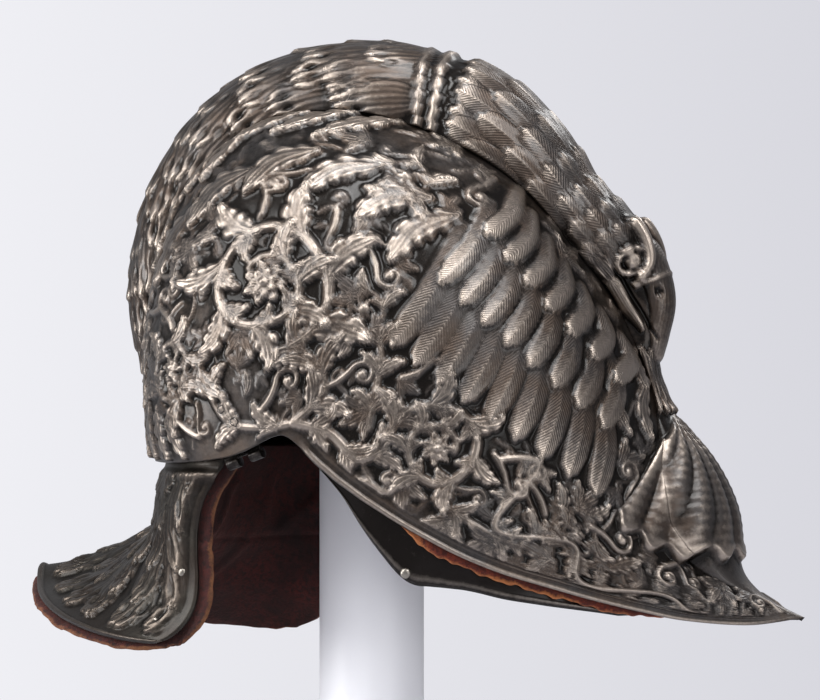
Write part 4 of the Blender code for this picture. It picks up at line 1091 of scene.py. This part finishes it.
def rimProfile(grid, stations):
    # the peak's edge is turned to a thin round bead with a line beside it; the rear and the ear have a plain edge
    away = np.linalg.norm(grid - grid[:, :1], axis=-1)
    front = smoothStep((stations - edging["first"]) / edging["over"])[:, None]
    width, height = helmet["rimBeadWidth"], helmet["rimBead"]
    round_ = height * np.sqrt(np.clip(1 - ((away - width * 0.5) / (width * 0.5)) ** 2, 0, 1))
    line = edging["line"] * np.exp(-((away - edging["lineAt"]) / edging["lineWidth"]) ** 2)
    calm = smoothStep((away - (edging["rearBand"] + edging["frontBand"] * front) * mm) / edging["bandFade"])
    return (round_ + line) * front, calm


def endFade(count, rear, tip):
    step = np.arange(count)
    return np.clip(np.minimum(step / rear, (count - 1 - step) / tip), 0, 1)


def turnedTo(normals, shared, distance):
    # normals that turn to a shared one near the foot of the crest, so that leaves of both sheets meet there
    share = np.exp(-(distance / (6 * mm)) ** 2)[..., None]
    turned = normals * (1 - share) + shared * share
    return turned / np.linalg.norm(turned, axis=-1, keepdims=True)


laceHoles = {"places": ((-0.108, 0.394), (-0.090, 0.374)), "radius": 1.6 * mm, "depth": 40 * mm, "middle": -80 * mm}


def cutLaceHoles(piece):
    # two small holes above the ear, where a lace once held the lining
    for x, z in laceHoles["places"]:
        work = bmesh.new()
        bmesh.ops.create_cone(work, cap_ends=True, segments=24, radius1=laceHoles["radius"],
                              radius2=laceHoles["radius"], depth=laceHoles["depth"])
        for v in work.verts:
            v.co = Vector((v.co.x + atX(x), v.co.z + laceHoles["middle"], v.co.y + atZ(z)))
        bmesh.ops.recalc_face_normals(work, faces=work.faces)
        drill = newObject("laceHole", meshOf(work, "laceHole", smooth=False))
        cut = piece.modifiers.new("laceHole", "BOOLEAN")
        cut.operation, cut.solver, cut.object = "DIFFERENCE", "EXACT", drill
        solid = bpy.data.meshes.new_from_object(piece.evaluated_get(bpy.context.evaluated_depsgraph_get()))
        piece.modifiers.clear()
        piece.data = solid
        bpy.data.objects.remove(drill)


def embossed(relief, scallop, covered, fade, calm=1.0, rim=0.0):
    # heights of the ornament where the shell doesn't cover it, and the looks that follow
    bare = smoothStep(covered / (0.6 * mm))
    own = (relief["raised"] * calm * (1 - bare) + rim) * fade
    return own[..., None], {"wear": wearAndShadeOf(own + scallop, 3, 0.9 * mm), "veins": relief["veins"],
                            "veinDepth": relief["veinDepth"] * calm * (1 - bare) * fade}


def buildBowl():
    # a sheet for each side and one for the crest between them
    stations = evenStations(bowlDetail["stations"])
    fade = endFade(len(stations), bowlDetail["fadeRear"], bowlDetail["fadeTip"])[:, None]
    feet = crestPlace(stations, 0.0)[:, None]
    side = sideGrid(stations, bowlDetail["sideRows"], bowlDetail["underCrest"], 9)
    crest = crestGrid(stations, bowlDetail["crestRows"])
    sideNormals, crestNormals = softNormals(side, bowlInside, 10), softNormals(crest, bowlInside, 4)
    shared = sideNormals[:, -8] + crestNormals[:, 8]
    shared = (shared / np.linalg.norm(shared, axis=-1, keepdims=True))[:, None]
    buildSides(stations, side, turnedTo(sideNormals, shared, np.linalg.norm(side - feet, axis=-1)), feet, fade)
    left = crest[:, :, 1:2] > 0
    feet, shared = np.where(left, feet * otherSide, feet), np.where(left, shared * otherSide, shared)
    buildCrest(stations, crest, turnedTo(crestNormals, shared, np.linalg.norm(crest - feet, axis=-1)), feet, fade)


def buildSides(stations, side, ways, feet, fade):
    normals = gridNormals(side, bowlInside)
    tree = searchTree(sideGrid(evenStations(150), 60))
    rim, calm = rimProfile(side, stations)
    relief = addRelief(newRelief(side), side, normals, sideMotifs(tree))
    scallop = shellRise(side, feet)
    # the ground is filled off the lace holes, the rim, the shell, the ends and the foot of the crest
    offHoles = np.linalg.norm((side - (atX(-0.094), -86 * mm, atZ(0.372))) / (1.25, 1.0, 0.62), axis=-1) > 11 * mm
    offRim = np.linalg.norm(side - side[:, :1], axis=-1) > 6 * mm
    offFoot = np.arange(side.shape[1]) < side.shape[1] - 6
    fillGround(tree, side, normals, relief, offHoles & offRim & (scallop < 0.2 * mm) & (fade > 0.5) & offFoot)
    relief["raised"] = softened(relief["raised"])
    own, looks = embossed(relief, scallop * fade, scallop, fade, calm, rim)
    outer = side + ways * own + shellWay(side) * (scallop * fade)[..., None]
    innerLines = sideGrid(stations, bowlDetail["backRows"], bowlDetail["underCrest"])
    inner = innerLines - gridNormals(innerLines, bowlInside) * helmet["wall"]
    inner[..., 1] = np.minimum(inner[..., 1], -0.02 * mm)
    edge = 0.5 * (outer[:, :1] + inner[:, :1]) + (outer[:, :1] - outer[:, 3:4]) * 0.25
    back = np.concatenate((edge, inner), axis=1)
    back[0], back[-1] = outer[0, 0], outer[-1, 0]
    flipped = {key: values[:, ::-1] for key, values in looks.items()}
    right = wrappedSheet("bowlRight", outer[:, ::-1], flipped, back)
    cutLaceHoles(right)
    for piece in (right, mirrored(right, "bowlLeft")):
        dress(piece, "bowl", "bowl_steel", "bowl")
    print("bowl:", len(right.data.polygons), "faces a side")


def buildCrest(stations, crest, ways, feet, fade):
    normals = gridNormals(crest, bowlInside)
    soft, head = crestMotifs()
    relief = addRelief(newRelief(crest), crest, normals, soft)
    relief["raised"] = softened(relief["raised"])
    addRelief(relief, crest, normals, head)
    scallop = shellRise(crest, feet) * fade
    own, looks = embossed(relief, scallop, scallop, fade)
    outer = crest + ways * own + shellWay(crest) * scallop[..., None]
    back = crestGrid(stations, bowlDetail["backRows"] // 2, 0.55, 0.9)
    back = back - gridNormals(back, bowlInside) * helmet["wall"]
    back[0], back[-1] = outer[0, 0], outer[-1, 0]
    piece = wrappedSheet("combAndCrest", outer, looks, back[:, ::-1])
    dress(piece, "bowl", "bowl_steel", "bowl")
    print("crest:", len(piece.data.polygons), "faces")


napeDetail = {"levels": 170, "across": 120, "wall": 1.5 * mm, "keel": 5 * mm, "keelWidth": 0.13,
              "bead": 1.0 * mm, "beadWidth": 2.8 * mm, "lip": 1.6 * mm}


def napeGrid(levels, across, first=0.0):
    rows = np.column_stack((
        atX(napeLevels[:, 0]), atZ(napeLevels[:, 1]), atX(napeLevels[:, 2]),
        -helmet["halfWidth"] * napeLevels[:, 3], atZ(napeLevels[:, 4]), napeLevels[:, 5],
        napeDetail["keel"] * napeLevels[:, 6],
    ))
    values = splineRows(rows, np.linspace(first, len(rows) - 1, levels))
    lines = []
    for turn in np.linspace(0, math.pi / 2, 70):
        back = max(math.cos(turn), 0.0) ** (2 / values[:, 5])
        aside = math.sin(turn) ** (2 / values[:, 5])
        y = values[:, 3] * aside
        keel = values[:, 6] * np.exp(-((y / (napeDetail["keelWidth"] * helmet["halfWidth"])) ** 2))
        x = values[:, 2] + (values[:, 0] - values[:, 2]) * back - keel * 0.3
        z = values[:, 1] + (values[:, 4] - values[:, 1]) * aside ** 1.1 + keel * 0.8
        lines.append(np.stack((x, y, z), axis=-1))
    half = evenLines(np.stack(lines, axis=1), across)
    half[:, 0, 1] = 0.0
    return bothHalves(half[:, ::-1])


# plumes in rows from the flared edge up to the neck: levels of root, belly and tip in shares, spread, count,
# half width and height
napePlumes = (
    (0.42, 0.66, 0.92, 0.92, 12, 9.6, 2.5), (0.30, 0.50, 0.76, 0.94, 11, 9.0, 2.8),
    (0.17, 0.34, 0.60, 0.93, 12, 8.4, 3.0), (0.05, 0.21, 0.44, 0.94, 11, 7.6, 3.0),
    (0.00, 0.10, 0.28, 0.93, 12, 6.8, 2.7),
)


def napeMotifs(grid):
    # long plumes fall down the neck and leaves fan from them to the flared edge
    found = []
    levels, middle = grid.shape[0], grid.shape[1] // 2

    def onNape(path, count=20):
        at = splineRows(np.array(path, float), np.linspace(0, len(path) - 1, count))
        i = np.clip((at[:, 0] * (levels - 1)).round().astype(int), 0, levels - 1)
        j = np.clip((middle + at[:, 1] * middle).round().astype(int), 0, grid.shape[1] - 1)
        return grid[i, j]

    for root, belly, tip, spread, count, width, height in napePlumes:
        for k in range(count):
            share = (2 * k / (count - 1) - 1) * spread
            bend = 0.055 * math.sin(2.1 * k + 9 * root)
            path = ((root, share * 0.95), (belly, share * 0.97 + bend), (tip, share - 0.5 * bend))
            found.append(motif("plume", onNape(path), width, height, 0, 0.12, 0.8, 0.2))
    return found


def buildNape():
    grid = napeGrid(napeDetail["levels"], napeDetail["across"])
    normals = gridNormals(grid, napeInside)
    hidden = smoothStep((atZ(0.298) - grid[..., 2]) / (4 * mm))
    fromEdge = np.linalg.norm(grid - grid[-1:], axis=-1)
    edgeBead = napeDetail["bead"] * np.sqrt(np.clip(1 - ((fromEdge / napeDetail["beadWidth"] - 0.5) / 0.5) ** 2, 0, 1))
    calm = smoothStep((fromEdge - 5 * mm) / (3 * mm))
    across = np.arange(grid.shape[1])
    sideCalm = np.clip((np.minimum(across, len(across) - 1 - across) - 5) / 5, 0, 1)[None]
    lip = napeDetail["lip"] * np.exp(-((grid[..., 2] - atZ(0.285)) / (2.0 * mm)) ** 2)
    front = smoothStep((np.abs(across - len(across) // 2) / (len(across) // 2) - 0.72) / 0.1)[None]
    relief = addRelief(newRelief(grid), grid, normals, napeMotifs(grid))
    relief["raised"] = softened(relief["raised"])
    shown = hidden * calm * sideCalm
    raised = relief["raised"] * shown + edgeBead + lip * front
    looks = {"wear": wearAndShadeOf(raised, 2, 0.9 * mm), "veins": relief["veins"], "veinDepth": relief["veinDepth"] * shown}
    middle = grid - normals * napeDetail["wall"] * 0.5
    plate = thinPlate("napePlateShell", middle, napeInside, napeDetail["wall"], looks, 2, raised)
    dress(plate, "nape", "nape_steel", "nape_plate")
    print("nape plate:", len(plate.data.polygons), "faces")


def extendLines(grid, axis, distance, steps, start=False):
    # a grid carried on past one of its sides
    if start:
        grid = np.flip(grid, axis)
    last = np.take(grid, -1, axis=axis)
    step = last - np.take(grid, -4, axis=axis)
    step = step / np.maximum(np.linalg.norm(step, axis=-1, keepdims=True), 1e-9)
    more = np.stack([last + step * distance * (k + 1) / steps for k in range(steps)], axis=axis)
    grid = np.concatenate((grid, more), axis=axis)
    return np.flip(grid, axis) if start else grid


lining = {"thickness": 2.6 * mm, "gap": 0.9 * mm, "proudFront": 5.0 * mm, "proudFoot": 3.0 * mm, "start": 0.125}


def wobble(points, size, seed):
    # a smooth irregular field over space, from -1 to 1
    rng = np.random.default_rng(seed)
    total = np.zeros(points.shape[:-1])
    for _ in range(7):
        direction = rng.normal(size=3)
        direction /= np.linalg.norm(direction)
        total += np.sin((points * direction).sum(-1) * math.tau / (size * rng.uniform(0.6, 1.6)) + rng.uniform(0, 6.3))
    return total / 3.5


def buildLinings():
    # velvet inside the nape plate, creased and with a seam, and inside the bowl
    grid = napeGrid(100, 60, 0.1)
    normals = gridNormals(grid, napeInside)
    grid = grid - normals * (napeDetail["wall"] + lining["gap"] + lining["thickness"] * 0.5)
    grid = extendLines(grid, 0, lining["proudFoot"], 3)
    grid = extendLines(extendLines(grid, 1, lining["proudFront"], 5), 1, lining["proudFront"], 5, True)
    normals = gridNormals(grid, napeInside)
    crease = np.clip(1 - np.abs(wobble(grid, 46 * mm, 3)) * 3, 0, 1) ** 2
    crease = crease * np.clip((atZ(0.30) - grid[..., 2]) / (6 * mm), 0, 1)
    seam = np.exp(-((grid[..., 2] - atZ(0.166)) / (1.2 * mm)) ** 2)
    grid = grid - normals * (0.5 * mm * (1 + wobble(grid, 22 * mm, 3)) + 1.5 * mm * crease - 0.8 * mm * seam)[..., None]
    border = fromBorder(grid, top=False)
    ragged = 0.5 * mm * wobble(grid, 6 * mm, 8) * np.clip(1 - border / 3.0, 0, 1)
    grid = grid + ragged[..., None] * np.array((0.4, 0, 1.0))
    wear = np.clip(0.8 - border / 4.0 + 0.2 * wobble(grid, 14 * mm, 9), 0, 0.9) * (border < 6)
    nape = thinPlate("napeVelvet", grid, napeInside, lining["thickness"], {"wear": wear}, 3)
    dress(nape, "velvet", "velvet", "nape_lining")
    stations = np.linspace(3.6, 18.6, 110)
    values = splineRows(bowlRows, stations)
    shares = lining["start"] + (1 - lining["start"]) * np.linspace(0, 1, 40)
    half = np.stack([sidePlace(values, np.full(len(values), s)) for s in shares], axis=1)
    half[:, -1, 1] = 0
    inward = helmet["wall"] + lining["gap"] + lining["thickness"] * 0.5 + 0.4 * mm
    half = half - gridNormals(half, bowlInside) * inward
    half[:, -1, 1] = 0
    grid = bothHalves(half)
    grid = grid - gridNormals(grid, bowlInside) * (0.4 * mm * (1 + wobble(grid, 30 * mm, 5)))[..., None]
    wear = np.clip(0.9 - fromBorder(grid) / 4.0, 0, 1)
    bowl = thinPlate("bowlVelvet", grid, bowlInside, lining["thickness"], {"wear": wear}, 3)
    dress(bowl, "velvet", "velvet", "bowl_lining")
    print("linings done")


# browDrops: sections, and how far the brow plate hangs there in shares of its greatest drop
peakStrip = {
    "velvetProud": 5.4 * mm, "velvetWidth": 20 * mm, "browWidth": 18 * mm, "browDrop": 24 * mm, "bend": 0.40,
    "browDrops": ((14.9, 0.10), (17.3, 0.22), (20.0, 0.74), (21.4, 1.0), (23.0, 0.63), (24.8, 0.50), (26.6, 0.32)),
}


def innerStrip(first, last, depth, width, count, rows):
    # a strip inside the rim, from a width up inside down to the rim
    stations = np.linspace(first, last, count)
    values = splineRows(bowlRows, stations)
    fine = np.stack([sidePlace(values, np.full(count, s)) for s in np.linspace(0, 0.6, 60)], axis=1)
    fine = fine - gridNormals(fine, bowlInside) * depth
    steps = np.linalg.norm(np.diff(fine, axis=1), axis=-1)
    travel = np.concatenate((np.zeros((count, 1)), np.cumsum(steps, axis=1)), axis=1)
    lines = []
    for i in range(count):
        wanted = np.linspace(min(width, 0.8 * travel[i, -1]), 0, rows)
        lines.append(np.stack([np.interp(wanted, travel[i], fine[i, :, k]) for k in range(3)], axis=-1))
    return np.stack(lines)


def dropped(grid, distances, steps):
    # the strip goes on straight down past the rim
    down = np.array((0, 0, -1.0))
    more = np.stack([grid[:, -1] + down * (distances * (k + 1) / steps)[:, None] for k in range(steps)], axis=1)
    return np.concatenate((grid, more), axis=1)


def roundFront(grid, steps):
    # the right half goes on to the middle plane in a bend, and is then given its left half
    end = grid[-1]
    more = []
    for share in np.linspace(0, 1, steps + 1)[1:]:
        line = end.copy()
        line[:, 0] += np.abs(end[:, 1]) * peakStrip["bend"] * (1 - (1 - share) ** 2)
        line[:, 1] = end[:, 1] * (1 - share)
        more.append(line)
    half = np.concatenate((grid, np.stack(more)), axis=0)
    half[-1, :, 1] = 0
    return bothHalves(half, 0)


def buildPeakPieces():
    count = 170
    strip = innerStrip(21.0, 28.6, helmet["wall"] + 2.4 * mm, peakStrip["velvetWidth"], count, 10)
    share = np.linspace(0, 1, count)
    proud = peakStrip["velvetProud"] * np.clip(share / 0.12, 0.15, 1) * np.clip((1 - share) / 0.25, 0.3, 1)
    pucker = 1 + 0.10 * np.sin(share * 61) * np.sin(share * 23 + 1) + 0.05 * np.sin(share * 140)
    grid = roundFront(dropped(strip, proud * pucker, 6), 40)
    normals = gridNormals(grid, bowlInside)
    edge = np.clip((np.arange(grid.shape[1]) - 9) / 6.0, 0, 1)[None]
    grid = grid + normals * (0.5 * mm * edge * wobble(grid, 9 * mm, 4))[..., None]
    wear = 0.25 + 0.6 * edge ** 3 + 0.25 * wobble(grid, 16 * mm, 6)
    velvetStrip = thinPlate("peakVelvet", grid, bowlInside, 2.4 * mm, {"wear": wear}, 3)
    dress(velvetStrip, "peakVelvet", "peak_velvet", "peak_lining")
    depth = helmet["wall"] + 5.7 * mm
    first, last = peakStrip["browDrops"][0][0], peakStrip["browDrops"][-1][0]
    strip = innerStrip(first, last, depth, peakStrip["browWidth"], count, 12)
    sections, shares = zip(*peakStrip["browDrops"])
    drop = peakStrip["browDrop"] * np.interp(np.linspace(first, last, count), sections, shares)
    drop = boxBlur(drop[:, None] * np.ones((1, 3)), 9)[:, 0]
    grid = roundFront(dropped(strip, drop, 14), 30)
    away = np.arange(grid.shape[1])[::-1][None, :] * np.ones((grid.shape[0], 1))
    raised = 0.5 * mm * np.exp(-((away - 2.0) / 0.9) ** 2)
    brow = thinPlate("browPlateShell", grid, bowlInside, 1.4 * mm, {"wear": wearAndShadeOf(raised, 2, 0.6 * mm)}, 2, raised)
    dress(brow, "brow", "brow_steel", "brow_plate")
    print("peak lining and brow plate done")


def domeRivet(name, node, radius, height):
    # a rivet head, hammered to a low dome, in place of its solid
    low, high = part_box(node)
    work = bmesh.new()
    bmesh.ops.create_uvsphere(work, u_segments=32, v_segments=16, radius=1.0)
    solid = frame["nodes"][node]
    normals = [(p.area, p.normal.copy()) for p in solid.data.polygons]
    back = max(normals, key=lambda pair: pair[0])[1]
    total = Vector((0, 0, 0))
    for area, normal in normals:
        if normal.dot(back) > 0.999:
            total += normal * area
    out = -total.normalized()
    centre = (low + high) / 2 - out * height * 0.5
    turn = out.to_track_quat("Z", "Y").to_matrix()
    for v in work.verts:
        v.co = turn @ Vector((v.co.x * radius, v.co.y * radius, max(v.co.z, -0.12) * height)) + centre
    mesh = meshOf(work, name)
    evenLook(mesh, 0.75)
    dress(newObject(name, mesh), "rivet", "rivet_steel", node)


def buildRivets():
    for node in sorted(frame["nodes"]):
        if "_rivet_" in node:
            parts = node.split("_")
            domeRivet(parts[0] + "Rivet" + parts[2].capitalize() + parts[3], node, 2.1 * mm, 1.3 * mm)
    print("rivets done")


def buildHinges():
    for side in ("right", "left"):
        # the hinge's solid with its edges filed round
        node = "cheek_hinge_" + side
        work = bmesh.new()
        work.from_mesh(frame["nodes"][node].data)
        bmesh.ops.remove_doubles(work, verts=work.verts, dist=1e-6)
        bmesh.ops.dissolve_limit(work, angle_limit=0.05, verts=work.verts, edges=work.edges)
        sharp = [e for e in work.edges if len(e.link_faces) == 2 and e.calc_face_angle() > 0.5]
        bmesh.ops.bevel(work, geom=sharp, offset=0.00025, segments=2, affect="EDGES", profile=0.5, material=-1)
        mesh = meshOf(work, node)
        evenLook(mesh, 0.55)
        dress(newObject("cheekHinge" + side.capitalize(), mesh), "brow", "brow_steel", node)
    print("hinge stumps done")


def turnedPiece(name, profile, steps, node):
    # a profile spun round the stand's axis
    work = bmesh.new()
    verts = [work.verts.new((r, 0, z)) for r, z in profile]
    edges = [work.edges.new(pair) for pair in zip(verts, verts[1:])]
    bmesh.ops.spin(work, geom=verts + edges, cent=(0, 0, 0), axis=(0, 0, 1), angle=math.tau, steps=steps,
                   use_merge=True)
    bmesh.ops.remove_doubles(work, verts=work.verts, dist=1e-6)
    bmesh.ops.recalc_face_normals(work, faces=work.faces)
    mesh = meshOf(work, name)
    mesh.set_sharp_from_angle(angle=0.6)
    dress(newObject(name, mesh), "stand", "stand_paint", node)


def buildStand():
    # the post, the foot with a rounded upper edge, and the domed cap
    low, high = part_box("stand_post")
    turnedPiece("standPost", ((0, low.z), (high.x, low.z), (high.x, high.z), (0, high.z)), 96, "stand_post")
    low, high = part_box("stand_foot")
    edge, bend = 0.8 * mm, 3 * mm
    upper = [(high.x - bend + bend * math.sin(t), high.z - bend + bend * math.cos(t))
             for t in np.linspace(0, math.pi / 2, 8)]
    profile = ((0, high.z), *upper, (high.x, low.z + edge), (high.x - edge, low.z), (0, low.z))
    turnedPiece("standFoot", profile, 128, "stand_foot")
    low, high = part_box("stand_cap")
    drop = high.z - low.z - 4 * mm
    sphere = (high.x ** 2 + drop ** 2) / (2 * drop)
    dome = [(sphere * math.sin(t), high.z - sphere * (1 - math.cos(t)))
            for t in np.linspace(0, math.asin(high.x / sphere), 14)]
    turnedPiece("standCap", (*dome, (high.x, low.z), (0, low.z)), 96, "stand_cap")
    print("stand done")


# the stage and the photo's camera; angles in degrees
stage = {"floorRadius": 0.74, "floorGap": 0.3 * mm, "floor": "#bcbcc2", "paperLeft": "#efeff4",
         "paperRight": "#d8d8df", "ambient": 0.46, "middle": (0.02, 0, 0.19)}
view = {"azimuth": 17.0, "elevation": 0.5, "distance": 2.4, "lens": 262.0, "aimX": 15.4 * mm, "aimZ": 187.5 * mm}
photoRight = Vector((math.cos(math.radians(view["azimuth"])), math.sin(math.radians(view["azimuth"])), 0))

# lights: name, angle round from the photo's side, angle up, distance, size and power
lights = (
    ("keyLight", -56, 36, 1.4, 0.75, 14), ("topLight", -14, 74, 1.2, 0.4, 9),
    ("lowLeftLight", -76, 3, 1.5, 0.5, 13), ("frontLight", 30, 44, 1.5, 0.6, 11),
    ("fillLight", 38, 2, 1.8, 0.8, 6.0), ("rimLight", 140, 40, 1.4, 0.4, 5),
)


def buildFloor():
    # a pale floor that fades out towards its edge and shows from above alone
    work = bmesh.new()
    bmesh.ops.create_circle(work, cap_ends=True, radius=stage["floorRadius"], segments=96,
                            matrix=Matrix.Translation((0, 0, -stage["floorGap"])))
    floor = newObject("studioFloor", meshOf(work, "studioFloor", smooth=False))
    material, tree, shader = newMaterial("paleFloorPaper")
    away = addNode(tree, "ShaderNodeVectorMath", {"operation": "LENGTH"}, {0: objectPlace(tree)}).outputs["Value"]
    fade = mapRange(tree, away, (stage["floorRadius"] * 0.4, stage["floorRadius"] * 0.98), (1.0, 0.0), "SMOOTHSTEP")
    above = maths(tree, "SUBTRACT", 1.0, addNode(tree, "ShaderNodeNewGeometry").outputs["Backfacing"])
    setInputs(tree, shader, {"Base Color": hexToLinear(stage["floor"]), "Roughness": 0.9,
                             "Alpha": maths(tree, "MULTIPLY", fade, above)})
    floor.data.materials.append(material)


def buildSurroundings():
    # pale paper with a painted fall of light, lighter on the photo's left and darker on its right, that gives less
    # light than the camera sees
    world = bpy.data.worlds.new("studio")
    world.use_nodes = True
    tree = world.node_tree
    direction = addNode(tree, "ShaderNodeTexCoord").outputs["Generated"]
    aside = addNode(tree, "ShaderNodeVectorMath", {"operation": "DOT_PRODUCT"}, {0: direction, 1: photoRight})
    # the paper's colour shifts from light to darker across the view: painted light falling from the left
    paintedFalloff = mapRange(tree, aside.outputs["Value"], (-0.07, 0.07), (0.0, 1.0))
    seen = addNode(tree, "ShaderNodeLightPath").outputs["Is Camera Ray"]
    setInputs(tree, tree.nodes["Background"], {
        "Color": mixColour(tree, paintedFalloff, hexToLinear(stage["paperLeft"]), hexToLinear(stage["paperRight"])),
        "Strength": mapRange(tree, seen, (0.0, 1.0), (stage["ambient"], 1.0)),
    })
    bpy.context.scene.world = world


def aimed(name, data, aim, around, up, distance):
    # a light or camera that looks at a point from a distance
    a, e = math.radians(view["azimuth"] + around), math.radians(up)
    out = Vector((math.sin(a) * math.cos(e), -math.cos(a) * math.cos(e), math.sin(e)))
    made = newObject(name, data)
    made.location = aim + out * distance
    made.rotation_euler = (-out).to_track_quat("-Z", "Y").to_euler()
    return made


def buildStage():
    buildFloor()
    buildSurroundings()
    for name, around, up, distance, size, power in lights:
        lamp = bpy.data.lights.new(name, "AREA")
        lamp.energy, lamp.size = power, size
        aimed(name, lamp, Vector(stage["middle"]), around, up, distance)
    camera = bpy.data.cameras.new("photoCamera")
    camera.lens, camera.sensor_width, camera.clip_end = view["lens"], 36.0, 20
    aim = photoRight * view["aimX"] + Vector((0, 0, view["aimZ"]))
    bpy.context.scene.camera = aimed("photoCamera", camera, aim, 0, view["elevation"], view["distance"])
    bpy.context.scene.view_settings.view_transform = "Standard"
    print("stage, lights and camera done")


buildBowl()
buildNape()
buildLinings()
buildPeakPieces()
buildRivets()
buildHinges()
buildStand()
buildStage()
